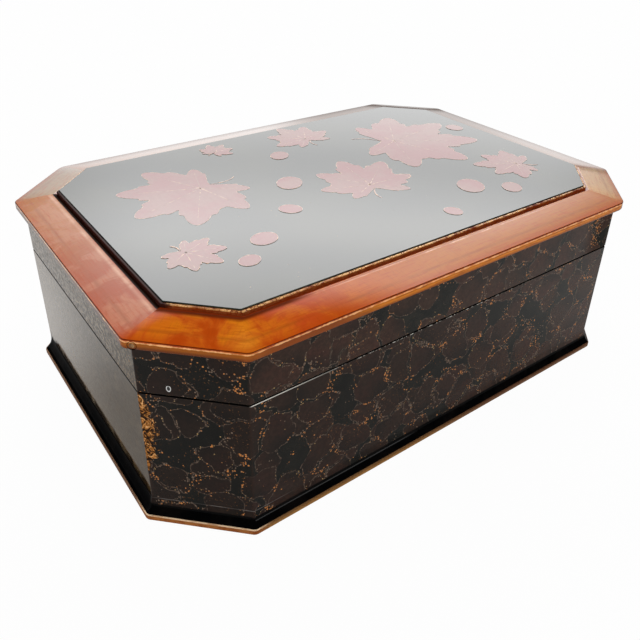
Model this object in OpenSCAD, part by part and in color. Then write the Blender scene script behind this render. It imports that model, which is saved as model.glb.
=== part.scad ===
// Octagonal lacquered tea ceremony box.
// A deep base stands on a coved plinth and carries an inner lining that stands up as a lip.
// The lid drops over that lip and meets the base edge to edge; its top is a sloped frame
// with an overhanging rim, around a raised panel with a small bead at its foot.
// A shallow tray rests on battens inside the base and is reached once the lid is off.
// The box stands on z = 0, centred on the z axis, with its length along x.
//
// Each ring of boards has eight pieces, mitred together at the corners of the octagon.
// "Outset" is the distance out from the outer faces of the walls; negative is inward.

/* [Walls] */
// Length of the box over its end walls
body_l = 300; // [240:5:400]
// Width of the box over its long walls
body_w = 208; // [170:2:280]
// Length that each cut corner takes off both walls
corner_cut = 32.5; // [28:0.5:48]
// Height of the joint between base and lid
seam_z = 69; // [60:1:110]
// Thickness of the outer boards of the base
wall_t = 5; // [4:0.5:7]

/* [Plinth] */
// Height of the plinth moulding on the outside
plinth_h = 11; // [9:0.5:16]
// How far the plinth stands out from the walls
plinth_out = 4; // [3:0.5:8]
// Height of the flat gilt edge at the foot
foot_edge_h = 2.8; // [2:0.2:4]
// Step between the flat edge and the end of the cove
cove_step = 0.4; // [0.2:0.1:0.8]
// Thickness of the moulding where the cove runs out at the top
cove_lip = 0.3; // [0.2:0.1:0.6]
// Height of the ledge that the walls and the floor stand on
sill_h = 4; // [3:0.5:5]
// Width of that ledge, inward from the outer faces
sill_w = 13; // [11:0.5:16]

/* [Base inside] */
// Thickness of the floor board
floor_t = 6; // [4:0.5:8]
// Thickness of the lining boards, which end as the lip
lining_t = 3.5; // [2.5:0.5:5]
// How far the lip stands above the joint
lip_h = 8; // [5:0.5:12]
// Width of the battens under the tray
batten_w = 6; // [4:0.5:8]
// Height of the battens under the tray
batten_h = 8; // [5:0.5:12]

/* [Lid] */
// Height of the lid walls
lid_wall_h = 24; // [16:1:40]
// How far the rim overhangs the walls
rim_out = 4; // [2:0.5:8]
// Height of the upright face of the rim
rim_h = 4.7; // [3:0.1:7]
// Width of the sloped frame, from the rim to the raised panel
slope_w = 21; // [14:0.5:30]
// Rise of the sloped frame
slope_rise = 2.8; // [1:0.1:4]
// Width of the bead at the foot of the panel
bead_w = 1.5; // [1:0.1:3]
// Height of the bead
bead_h = 1.2; // [0.8:0.1:1.4]
// Height of the panel above the frame
panel_rise = 1.8; // [1.6:0.1:4]
// Thickness of the ledge of the frame under the panel
rebate_t = 2.5; // [2:0.5:3]
// Width of that ledge
rebate_w = 10; // [6:0.5:11]

/* [Tray] */
// Height of the tray over all
tray_h = 26; // [16:1:40]
// Height of the tray walls above the lip
tray_above_lip = 4; // [2:0.5:8]
// Thickness of the tray walls
tray_wall_t = 4; // [3:0.5:6]
// Thickness of the tray floor
tray_floor_t = 3; // [2:0.5:4]

/* [Clearances] */
// Gap between the lip and the lid walls
lip_gap = 0.4; // [0.2:0.1:0.8]
// Gap between the tray and the lining
tray_gap = 0.6; // [0.4:0.1:1]

/* [Hidden] */
SIDES = ["front", "front_right", "right", "back_right", "back", "back_left", "left", "front_left"];
LONG_SIDES = [0, 2, 4, 6];
ALL_SIDES = [0:7];
turn = 360 / len(SIDES);
spare = 2;

lip_z = seam_z + lip_h;
floor_z = sill_h + floor_t;
lining_in = wall_t + lining_t;
tray_z = lip_z + tray_above_lip - tray_h;
lid_wall_t = wall_t - lip_gap;
rim_z = seam_z + lid_wall_h;
rim_top_z = rim_z + rim_h;
slope_top_z = rim_top_z + slope_rise;
panel_top_z = slope_top_z + panel_rise;
panel_in = slope_w - rim_out;
panel_z = rim_z + rebate_t;
tray_in = lining_in + tray_gap;
cove_h = plinth_h - foot_edge_h;
cove_out = plinth_out - cove_step - cove_lip;
cove_r = (cove_h * cove_h + cove_out * cove_out) / (2 * cove_out);

black = "#1d1a19";
gilt = "#c89a55";
amber = "#b8561f";
panel_black = "#2a2d2a";
inside_red = "#6a1712";

// The corners of the octagon at an outset, counted from the left end of the front wall.
function cut_at(outset) = corner_cut + outset * (2 - sqrt(2));
function octagon(outset) =
    let (x = body_l / 2 + outset, y = body_w / 2 + outset, c = cut_at(outset))
    [[c - x, -y], [x - c, -y], [x, c - y], [x, y - c], [x - c, y], [c - x, y], [-x, y - c], [-x, c - y]];
function corner(i, outset) = octagon(outset)[i % len(SIDES)];

// One side of a ring, cut by the mitre planes at both ends.
module mitred(i, from, to, z, h) {
    translate([0, 0, z])
        linear_extrude(h)
            polygon([corner(i, to), corner(i + 1, to), corner(i + 1, from), corner(i, from)]);
}

// A flat octagonal board.
module board(outset, z, h) {
    translate([0, 0, z])
        linear_extrude(h)
            polygon(octagon(outset));
}

// Children drawn with x along side i, y outward from the wall's outer face and z up.
module on_side(i) {
    middle = (corner(i, 0) + corner(i + 1, 0)) / 2;
    translate([middle[0], middle[1], 0])
        rotate([0, 0, turn * i - 180])
            children();
}

// A length of moulding whose section has x outward and y up.
module moulding(i, section) {
    reach = norm(corner(i + 1, 0) - corner(i, 0)) + 4 * max(rim_out, plinth_out);
    on_side(i)
        rotate([90, 0, 90])
            linear_extrude(reach, center = true)
                polygon(section);
}

module base_floor() {
    color(inside_red) board(-wall_t, sill_h, floor_t);
}

module plinth(i) {
    section = [
        [plinth_out, 0], [plinth_out, foot_edge_h], [plinth_out - cove_step, foot_edge_h],
        [plinth_out - cove_step, plinth_h], [0, plinth_h], [0, sill_h], [-sill_w, sill_h], [-sill_w, 0]
    ];
    color(black)
        difference() {
            intersection() {
                moulding(i, section);
                mitred(i, -sill_w - spare, plinth_out + spare, -spare, plinth_h + 2 * spare);
            }
            on_side(i)
                translate([0, cove_lip + cove_r, plinth_h])
                    rotate([0, 90, 0])
                        cylinder(r = cove_r, h = 2 * body_l, center = true, $fn = 96);
        }
}

module base_wall(i) {
    color(black) mitred(i, -wall_t, 0, sill_h, seam_z - sill_h);
}

module lining(i) {
    color(inside_red) mitred(i, -lining_in, -wall_t, floor_z, lip_z - floor_z);
}

module tray_batten(i) {
    color(inside_red) mitred(i, -lining_in - batten_w, -lining_in, tray_z - batten_h, batten_h);
}

module lid_wall(i) {
    color(black) mitred(i, -lid_wall_t, 0, seam_z, lid_wall_h);
}

module lid_frame(i) {
    section = [
        [rim_out, rim_z], [rim_out, rim_top_z], [bead_w - panel_in, slope_top_z],
        [-panel_in, slope_top_z], [-panel_in, panel_z], [-panel_in - rebate_w, panel_z],
        [-panel_in - rebate_w, rim_z]
    ];
    color(amber)
        intersection() {
            moulding(i, section);
            mitred(i, -panel_in - rebate_w - spare, rim_out + spare, rim_z - spare, panel_top_z - rim_z);
        }
}

module lid_panel() {
    color(panel_black) board(-panel_in, panel_z, panel_top_z - panel_z);
}

module panel_bead() {
    color(gilt)
        for (i = ALL_SIDES)
            mitred(i, -panel_in, bead_w - panel_in, slope_top_z, bead_h);
}

module tray_floor() {
    color(inside_red) board(-tray_in - tray_wall_t, tray_z, tray_floor_t);
}

module tray_wall(i) {
    color(black) mitred(i, -tray_in - tray_wall_t, -tray_in, tray_z, tray_h);
}

base_floor();
for (i = ALL_SIDES) {
    plinth(i);
    base_wall(i);
    lining(i);
    lid_wall(i);
    lid_frame(i);
    tray_wall(i);
}
for (i = LONG_SIDES)
    tray_batten(i);
lid_panel();
panel_bead();
tray_floor();
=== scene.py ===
"""Octagonal lacquered tea ceremony box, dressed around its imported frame.

Eight boards make each ring of the box. A length of board is one closed section, swept from mitre to
mitre along its side of the octagon, with softened arrises and true normals, so that the lacquer
runs on over the joints. Lengths in this file are in millimetres unless a line says otherwise.
"""

import math
import random

import bpy
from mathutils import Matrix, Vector


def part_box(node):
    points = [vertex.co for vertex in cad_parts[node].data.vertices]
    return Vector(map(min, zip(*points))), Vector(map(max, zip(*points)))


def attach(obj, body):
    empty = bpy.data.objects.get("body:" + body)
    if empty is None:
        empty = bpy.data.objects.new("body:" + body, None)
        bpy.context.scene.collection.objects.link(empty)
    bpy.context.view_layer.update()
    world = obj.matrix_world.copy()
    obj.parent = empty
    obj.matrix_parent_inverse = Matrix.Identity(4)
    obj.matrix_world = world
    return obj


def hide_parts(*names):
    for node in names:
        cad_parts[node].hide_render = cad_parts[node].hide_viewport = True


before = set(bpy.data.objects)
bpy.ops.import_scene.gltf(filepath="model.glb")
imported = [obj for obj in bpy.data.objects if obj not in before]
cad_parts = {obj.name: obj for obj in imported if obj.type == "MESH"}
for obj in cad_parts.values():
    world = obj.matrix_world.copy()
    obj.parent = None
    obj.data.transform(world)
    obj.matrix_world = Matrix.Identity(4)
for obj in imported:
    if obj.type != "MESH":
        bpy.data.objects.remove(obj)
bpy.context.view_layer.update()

bl_info = {
    "name": "Lacquered Tea Ceremony Box",
    "version": (1, 0, 0),
    "blender": (4, 5, 0),
    "location": "3D View > Sidebar > Tea Box",
    "description": "Builds an octagonal lacquered box with its lid, tray, finishes and stage",
    "category": "Add Mesh",
}

MM = 0.001
SIDES = ["front", "front_right", "right", "back_right", "back", "back_left", "left", "front_left"]
LONG_SIDES = [0, 2, 4, 6]
# Degrees from one side of the octagon to the next.
TURN = 45.0
HALF_TURN = TURN / 2
# The octagon of the walls' outer faces.
HALF_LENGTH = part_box("base_wall_right")[1].x / MM
HALF_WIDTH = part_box("base_wall_back")[1].y / MM
CORNER_CUT = HALF_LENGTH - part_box("base_wall_front")[1].x / MM


# ---------------------------------------------------------------- sizes read from the frame

def foot_of(node):
    """The lowest height of a node."""
    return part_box(node)[0].z / MM


def head_of(node):
    """The greatest height of a node."""
    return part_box(node)[1].z / MM


def outer_of(stem):
    """How far a ring's outer face stands out from the walls; negative is inward."""
    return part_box(stem + "_right")[1].x / MM - HALF_LENGTH


def inner_of(stem):
    """How far a ring's inner face stands out from the walls."""
    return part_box(stem + "_right")[0].x / MM - HALF_LENGTH


SEAM_Z = head_of("base_wall_front")
RIM_Z = foot_of("lid_frame_front")
PLINTH_Z = head_of("plinth_front")
PANEL_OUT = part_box("lid_panel")[1].x / MM - HALF_LENGTH
PANEL_OUT_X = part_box("lid_panel")[0].x / MM
PANEL_Z = head_of("lid_panel")
BEAD_Z = head_of("panel_bead")
BEAD_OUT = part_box("panel_bead")[1].x / MM - HALF_LENGTH
# The gilt edge's height at the foot, and the step and the lip of the cove above it.
FOOT_EDGE = 2.8
COVE_STEP = 0.4
COVE_LIP = 0.05
# Where the leaves end on the plinth, above its black cove.
LEAVES_END = 7.1
# The height of the rim's upright face.
RIM_FACE = 4.7
# Where the slope meets the bead, counted up the section from the rim's lower edge.
SLOPE_END = RIM_FACE + math.hypot(outer_of("lid_frame") - BEAD_OUT,
                                  head_of("lid_frame_front") - RIM_Z - RIM_FACE)


# ---------------------------------------------------------------- the octagon and its sections

def octagon(outset):
    """The corners at an outset, counter-clockwise from the left end of the front wall."""
    x = HALF_LENGTH + outset
    y = HALF_WIDTH + outset
    cut = CORNER_CUT + outset * (2 - math.sqrt(2))
    return [(cut - x, -y), (x - cut, -y), (x, cut - y), (x, y - cut),
            (x - cut, y), (cut - x, y), (-x, y - cut), (-x, cut - y)]


def heading(degrees):
    """The unit direction at an angle from +X."""
    return Vector((math.cos(math.radians(degrees)), math.sin(math.radians(degrees))))


def side_angle(side):
    """The angle of a side's outward direction."""
    return TURN * side - 90.0


def side_lengths():
    """The lengths of the octagon's sides, at the walls' outer faces."""
    points = [Vector(p) for p in octagon(0)]
    return [(points[(i + 1) % 8] - points[i]).length for i in range(8)]


def side_starts():
    """Where each side starts along the perimeter. The count breaks at the back right corner."""
    lengths = side_lengths()
    starts = [sum(lengths[:i]) for i in range(8)]
    return [s if i < 4 else s - sum(lengths) for i, s in enumerate(starts)]


# The least radius of an upright corner.
LEAST_RADIUS = 0.1
# How far from a mitre the softer direction turns.
MITRE_SOFT = 9.0
STARTS = side_starts()
LENGTHS = side_lengths()
# A fillet's arc: the length of a step, and the fewest and the most steps.
ARC_STEP = 0.5
FEWEST_STEPS = 4
MOST_STEPS = 16


def columns(side, outset, radii, steps, reach, least=LEAST_RADIUS):
    """Points along one side, mitre to mitre, each with its outward direction and a softer one.

    The radii hold at the outset called reach, and shrink inward from there down to the least.
    The softer direction turns slowly towards the next side, for a slope with rubbed mitres.
    """
    corners = [Vector(p) for p in octagon(outset)]
    angle = side_angle(side)
    first = corners[side]
    last = corners[(side + 1) % 8]
    along = heading(angle + 90)
    result = []
    for end, corner, way in ((0, first, -1), (1, last, 1)):
        radius = max(radii[(side + end) % 8] + outset - reach, least)
        centre = corner - heading(angle + way * HALF_TURN) * radius / math.cos(math.radians(HALF_TURN))
        turns = [way * HALF_TURN * k / steps for k in range(steps + 1)]
        if end == 0:
            turns.reverse()
        arc = [(centre + heading(angle + t) * radius, heading(angle + t)) for t in turns]
        if end == 1:
            before = result[-1][0]
            after = arc[0][0]
            for share in (MITRE_SOFT / 2, MITRE_SOFT):
                result.append((before + along * share, heading(angle)))
            result.append(((before + after) / 2, heading(angle)))
            for share in (MITRE_SOFT, MITRE_SOFT / 2):
                result.append((after - along * share, heading(angle)))
        result.extend(arc)
    origin = Vector(octagon(0)[side])
    full = []
    for point, normal in result:
        run = min(max((point - origin).dot(along), 0.0), LENGTHS[side])
        far = min((last - point).dot(along), MITRE_SOFT)
        near = min((point - first).dot(along), MITRE_SOFT)
        turn = HALF_TURN * ((1 - far / MITRE_SOFT) - (1 - near / MITRE_SOFT))
        full.append((point, normal, heading(angle + turn), STARTS[side] + run, min(run, LENGTHS[side] - run)))
    return full


def rounded(corners):
    """A closed section with filleted corners. Each corner is (outset, height, radius).

    Gives rows of (outset, height, normal before, normal after, run), counter-clockwise.
    """
    rows = []
    count = len(corners)
    for i, (d, z, radius) in enumerate(corners):
        here = Vector((d, z))
        before = (here - Vector(corners[i - 1][:2])).normalized()
        after = (Vector(corners[(i + 1) % count][:2]) - here).normalized()
        out_before = Vector((before.y, -before.x))
        out_after = Vector((after.y, -after.x))
        if radius == 0:
            rows.append((here, out_before, out_after))
            continue
        turn = math.atan2(before.x * after.y - before.y * after.x, before.dot(after))
        way = 1 if turn > 0 else -1
        start = here - before * radius * math.tan(abs(turn) / 2)
        centre = start - out_before * radius * way
        steps = max(FEWEST_STEPS, min(MOST_STEPS, int(abs(turn) * radius / ARC_STEP)))
        for k in range(steps + 1):
            a = turn * k / steps
            normal = Vector((out_before.x * math.cos(a) - out_before.y * math.sin(a),
                             out_before.x * math.sin(a) + out_before.y * math.cos(a)))
            rows.append((centre + normal * radius * way, normal, normal))
    result = []
    run = 0.0
    for i, (point, normal_a, normal_b) in enumerate(rows):
        if i:
            run += (point - rows[i - 1][0]).length
        result.append((point.x, point.y, normal_a, normal_b, run))
    closing = (rows[0][0] - rows[-1][0]).length
    result.append((rows[0][0].x, rows[0][0].y, rows[0][1], rows[0][2], run + closing))
    return result


# ---------------------------------------------------------------- meshes

# The section map of a face that no edge wear should reach.
FAR_FROM_EDGES = (50.0, 50.0)
# Above this, a normal's upward part counts as a slope that takes the softer direction.
UPWARD = 0.95
# A slab's rows reach in by this many times its edge radius, which counts as no less than the second.
HEM = 3
LEAST_HEM = 0.5


class Form:
    """Collects faces with their own normals and two maps, and turns them into a mesh object."""

    def __init__(self):
        self.index = {}
        self.points = []
        self.faces = []
        self.normals = []
        self.perimeter = []
        self.section = []

    def point(self, p):
        """The number of a point, which is kept once."""
        key = tuple(round(v, 4) for v in p)
        if key not in self.index:
            self.index[key] = len(self.points)
            self.points.append(Vector(p) * MM)
        return self.index[key]

    def face(self, corners, normals=None, perimeter=None, section=None):
        """Adds a face from points. A corner that falls on the one before is left out."""
        numbers = [self.point(p) for p in corners]
        keep = [k for k in range(len(numbers)) if numbers[k] != numbers[k - 1]]
        if len(keep) < 3:
            return
        self.faces.append([numbers[k] for k in keep])
        if normals is None:
            normals = [newell(corners)] * len(corners)
        for k in keep:
            self.normals.append(normals[k])
            self.perimeter.append(perimeter[k] if perimeter else (corners[k][0], corners[k][1]))
            self.section.append(section[k] if section else FAR_FROM_EDGES)

    def build(self, name):
        """A mesh object with the normals and the two maps."""
        mesh = bpy.data.meshes.new(name)
        mesh.from_pydata(self.points, [], self.faces)
        for label, values in (("perimeter", self.perimeter), ("section", self.section)):
            layer = mesh.uv_layers.new(name=label)
            layer.data.foreach_set("uv", [v for pair in values for v in pair])
        mesh.shade_smooth()
        mesh.normals_split_custom_set([tuple(n) for n in self.normals])
        mesh.validate()
        made = bpy.data.objects.new(name, mesh)
        bpy.context.scene.collection.objects.link(made)
        return made


def newell(corners):
    """The normal of a polygon, by Newell's method."""
    total = Vector((0, 0, 0))
    for a, b in zip(corners, corners[1:] + corners[:1]):
        a = Vector(a)
        b = Vector(b)
        total += Vector(((a.y - b.y) * (a.z + b.z), (a.z - b.z) * (a.x + b.x), (a.x - b.x) * (a.y + b.y)))
    return total.normalized()


def sweep(form, side, rows, radii, steps=3, capped=True, least=LEAST_RADIUS):
    """Sweeps a section along one side of the octagon, from mitre to mitre."""
    reach = max(row[0] for row in rows)
    grid = [columns(side, row[0], radii, steps, reach, least) for row in rows]
    across = len(grid[0])

    def corner(r, c, after):
        point, out, soft, run, end = grid[r][c]
        normal = rows[r][3 if after else 2]
        out = soft if normal.y > UPWARD else out
        place = (point.x, point.y, rows[r][1])
        facing = Vector((out.x * normal.x, out.y * normal.x, normal.y))
        return place, facing, (run, rows[r][1]), (end, rows[r][4])

    for r in range(len(rows) - 1):
        for c in range(across - 1):
            four = [corner(r, c, True), corner(r, c + 1, True),
                    corner(r + 1, c + 1, False), corner(r + 1, c, False)]
            form.face(*[[v[k] for v in four] for k in range(4)])
    if capped:
        start = [corner(r, 0, False)[0] for r in range(len(rows) - 1)]
        end = [corner(r, across - 1, False)[0] for r in range(len(rows) - 1)]
        form.face(start)
        form.face(end[::-1])


def slab(form, outset, low, high, foot_radius, head_radius, radii, steps=3):
    """A closed octagonal board with rounded edges, swept round all eight sides."""
    inset = outset - HEM * max(foot_radius, head_radius, LEAST_HEM)
    rows = rounded([(inset, low, 0), (outset, low, foot_radius),
                    (outset, high, head_radius), (inset, high, 0)])[:-1]
    for side in range(8):
        sweep(form, side, rows, radii, steps, capped=False)
    for row, up in ((rows[0], False), (rows[-1], True)):
        ring = []
        for side in range(8):
            ring.extend((p.x, p.y, row[1]) for p, *_ in columns(side, row[0], radii, steps, outset)[:-1])
        form.face(ring if up else ring[::-1])


def ring_board(stem, section, radius, body, slot, coat, sides=range(8), steps=3, least=LEAST_RADIUS):
    """One length of board for each side, in place of the frame's own lengths."""
    radii = radius if isinstance(radius, list) else [radius] * 8
    rows = rounded(section)
    for side in sides:
        form = Form()
        sweep(form, side, rows, radii, steps, least=least)
        name = stem + "_" + SIDES[side]
        dress(form.build(name + "_board"), body, slot, coat, name)


def dress(piece, body, slot, coat, *nodes):
    """Gives a piece its finish and its body, and hides the nodes that it stands for. The slot is not used."""
    piece.data.materials.append(coat)
    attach(piece, body)
    if nodes:
        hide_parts(*nodes)


def ribbon(form, points, widths, low, high, closed=False):
    """A thin raised strip along points in a level plane."""
    count = len(points)
    left = []
    right = []
    for i in range(count):
        a = Vector(points[i - 1] if (i or closed) else points[i])
        b = Vector(points[(i + 1) % count] if (i + 1 < count or closed) else points[i])
        along = (b - a).normalized()
        out = Vector((along.y, -along.x)) * widths[i] / 2
        here = Vector(points[i])
        left.append(here - out)
        right.append(here + out)
    up = [Vector((0, 0, 1))] * 4
    for i in range(count if closed else count - 1):
        k = (i + 1) % count
        l0, l1, r0, r1 = left[i], left[k], right[i], right[k]
        form.face([(*l0, high), (*r0, high), (*r1, high), (*l1, high)], up)
        form.face([(*l1, low), (*r1, low), (*r0, low), (*l0, low)])
        form.face([(*l0, low), (*l0, high), (*l1, high), (*l1, low)])
        form.face([(*r1, low), (*r1, high), (*r0, high), (*r0, low)])
    if not closed:
        form.face([(*left[0], low), (*right[0], low), (*right[0], high), (*left[0], high)])
        form.face([(*left[-1], high), (*right[-1], high), (*right[-1], low), (*left[-1], low)])


def tablet(form, outline, low, high):
    """A thin flat shape with a raised top."""
    form.face([(x, y, high) for x, y in outline])
    form.face([(x, y, low) for x, y in outline][::-1])
    for a, b in zip(outline, outline[1:] + outline[:1]):
        form.face([(*a, low), (*b, low), (*b, high), (*a, high)])


# ---------------------------------------------------------------- node helpers

class Nodes:
    """Adds nodes to one tree and joins them."""

    def __init__(self, tree):
        self.tree = tree

    def feed(self, socket, value):
        """Links a socket to another one, or sets its value."""
        if isinstance(value, bpy.types.NodeSocket):
            self.tree.links.new(value, socket)
        else:
            socket.default_value = value

    def add(self, kind, feeds=None, **settings):
        """Adds a node, with its settings and with what its inputs take."""
        node = self.tree.nodes.new("ShaderNode" + kind)
        for key, value in settings.items():
            setattr(node, key, value)
        for key, value in (feeds or {}).items():
            self.feed(node.inputs[key], value)
        return node

    def math(self, operation, a, b=0.0, clamp=False):
        return self.add("Math", {0: a, 1: b}, operation=operation, use_clamp=clamp).outputs[0]

    def vector(self, operation, a, b=(0, 0, 0)):
        return self.add("VectorMath", {0: a, 1: b}, operation=operation).outputs[0]

    def dot(self, a, b):
        return self.add("VectorMath", {0: a, 1: b}, operation="DOT_PRODUCT").outputs["Value"]

    def scaled(self, vector, factor):
        return self.add("VectorMath", {0: vector, "Scale": factor}, operation="SCALE").outputs[0]

    def apart(self, vector):
        return self.add("SeparateXYZ", {0: vector}).outputs

    def together(self, x, y):
        return self.add("CombineXYZ", {0: x, 1: y}).outputs[0]

    def ease(self, value, start, end, low=0.0, high=1.0):
        """Goes smoothly from low to high while a value goes from start to end."""
        feeds = {"Value": value, "From Min": start, "From Max": end, "To Min": low, "To Max": high}
        return self.add("MapRange", feeds, interpolation_type="SMOOTHSTEP").outputs[0]

    def mix(self, mask, a, b):
        """Colour a, or colour b where the mask is 1."""
        return self.add("Mix", {0: mask, 6: a, 7: b}, data_type="RGBA").outputs[2]

    def blend(self, mask, a, b):
        """Number a, or number b where the mask is 1."""
        return self.add("Mix", {0: mask, 2: a, 3: b}, data_type="FLOAT").outputs[0]

    def noise(self, vector, scale, detail=2.0, roughness=0.5, distortion=0.0, flat=False):
        """Soft noise; flat is for a plane's coordinates."""
        feeds = {"Vector": vector, "Scale": scale, "Detail": detail,
                 "Roughness": roughness, "Distortion": distortion}
        return self.add("TexNoise", feeds, noise_dimensions="2D" if flat else "3D").outputs

    def cells(self, vector, scale, feature="F1", flat=False):
        """Irregular cells; flat is for a plane's coordinates."""
        feeds = {"Vector": vector, "Scale": scale}
        dims = "2D" if flat else "3D"
        return self.add("TexVoronoi", feeds, voronoi_dimensions=dims, feature=feature).outputs

    def window(self, value, low, high, soft):
        """1 between low and high, with soft ends."""
        rise = self.ease(value, low - soft, low + soft)
        fall = self.ease(value, high + soft, high - soft)
        return self.math("MULTIPLY", rise, fall)

    def place(self, name, **values):
        """Puts a shared node group in this tree and gives its outputs."""
        node = self.tree.nodes.new("ShaderNodeGroup")
        node.node_tree = shared(name)
        for key, value in values.items():
            self.feed(node.inputs[key.replace("_", " ").capitalize()], value)
        return node.outputs


def rgb(colour):
    return (*colour, 1.0)


def coated(n, colour, *coats):
    """Lays tints over a colour, each where its mask says."""
    for mask, name in coats:
        colour = n.mix(mask, colour, tint(name))
    return colour


GROUPS = {}


def shared(name):
    """A shared node group, built the first time that it is asked for."""
    label = "Tea box " + name
    if label not in bpy.data.node_groups:
        inputs, outputs, fill = GROUPS[name]
        tree = bpy.data.node_groups.new(label, "ShaderNodeTree")
        for socket, kind, default in inputs:
            made = tree.interface.new_socket(socket, in_out="INPUT", socket_type="NodeSocket" + kind)
            if default is not None:
                made.default_value = default
        for socket, kind in outputs:
            tree.interface.new_socket(socket, in_out="OUTPUT", socket_type="NodeSocket" + kind)
        way_in = tree.nodes.new("NodeGroupInput")
        way_out = tree.nodes.new("NodeGroupOutput")
        n = Nodes(tree)
        for socket, value in fill(n, way_in.outputs).items():
            n.feed(way_out.inputs[socket], value)
    return bpy.data.node_groups[label]


def group(name, inputs, outputs):
    """Registers the function that fills a shared node group."""
    def keep(fill):
        GROUPS[name] = (inputs, outputs, fill)
        return fill
    return keep


# ---------------------------------------------------------------- shared effects

# The range of a noise over which a soft cloudy mask builds up.
CLOUDY = (0.35, 0.65)
# The middle of a noise's colour, taken off to let it push both ways.
MIDDLE = (0.5, 0.5, 0.5)
# How far slow and quick noise push a leaf's outline.
LEAF_BEND = 9.0
LEAF_FRAY = 1.0
# A leaf's least reach from its middle, and what chance adds to it, as shares of the leaf's size.
LEAF_REACH = 0.36
LEAF_VARIES = 0.14
# The lower layer of leaves: how far it is shifted, and its leaves' size beside the upper ones'.
STAGGER = (137.0, 61.0, 0.0)
UNDER_SHARE = 0.82
# The gaps between the leaves of the two layers, as shares of a leaf's size.
OVER_GAP = 0.035
UNDER_GAP = 0.02
# The widths of the line that the dots keep to and of the thin drawn line.
DOTTED_WIDTH = 0.8
DRAWN_WIDTH = 0.30


@group("leaf field",
       [("Vector", "Vector", None), ("Size", "Float", 20.0), ("Gap", "Float", 0.03)],
       [("Edge", "Float"), ("Lean", "Float"), ("Tone", "Float")])
def leaf_field(n, given):
    """Rounded leaves scattered over a plane: millimetres in from the edge, lean and tone."""
    slow = n.noise(given["Vector"], scale=0.085, detail=1.0, flat=True)["Color"]
    quick = n.noise(given["Vector"], scale=0.32, detail=2.0, flat=True)["Color"]
    bend = n.scaled(n.vector("SUBTRACT", slow, MIDDLE), LEAF_BEND)
    fray = n.scaled(n.vector("SUBTRACT", quick, MIDDLE), LEAF_FRAY)
    moved = n.vector("ADD", n.vector("ADD", given["Vector"], bend), fray)
    part = n.math("DIVIDE", 1.0, given["Size"])
    unit = n.vector("MULTIPLY", n.scaled(moved, part), (1.0, 1.0, 0.0))
    near = n.cells(unit, scale=1.0, flat=True)
    wall = n.cells(unit, scale=1.0, feature="DISTANCE_TO_EDGE", flat=True)["Distance"]
    chance = n.add("SeparateColor", {0: near["Color"]}).outputs
    reach = n.math("ADD", n.math("MULTIPLY", chance[0], LEAF_VARIES), LEAF_REACH)
    inside = n.math("SUBTRACT", reach, near["Distance"])
    clear = n.math("SUBTRACT", wall, given["Gap"])
    edge = n.math("MULTIPLY", n.math("MINIMUM", inside, clear), given["Size"])
    angle = n.math("MULTIPLY", chance[1], 2 * math.pi)
    way = n.together(n.math("COSINE", angle), n.math("SINE", angle))
    lean = n.dot(n.vector("SUBTRACT", unit, near["Position"]), way)
    return {"Edge": edge, "Lean": lean, "Tone": chance[2]}


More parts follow.
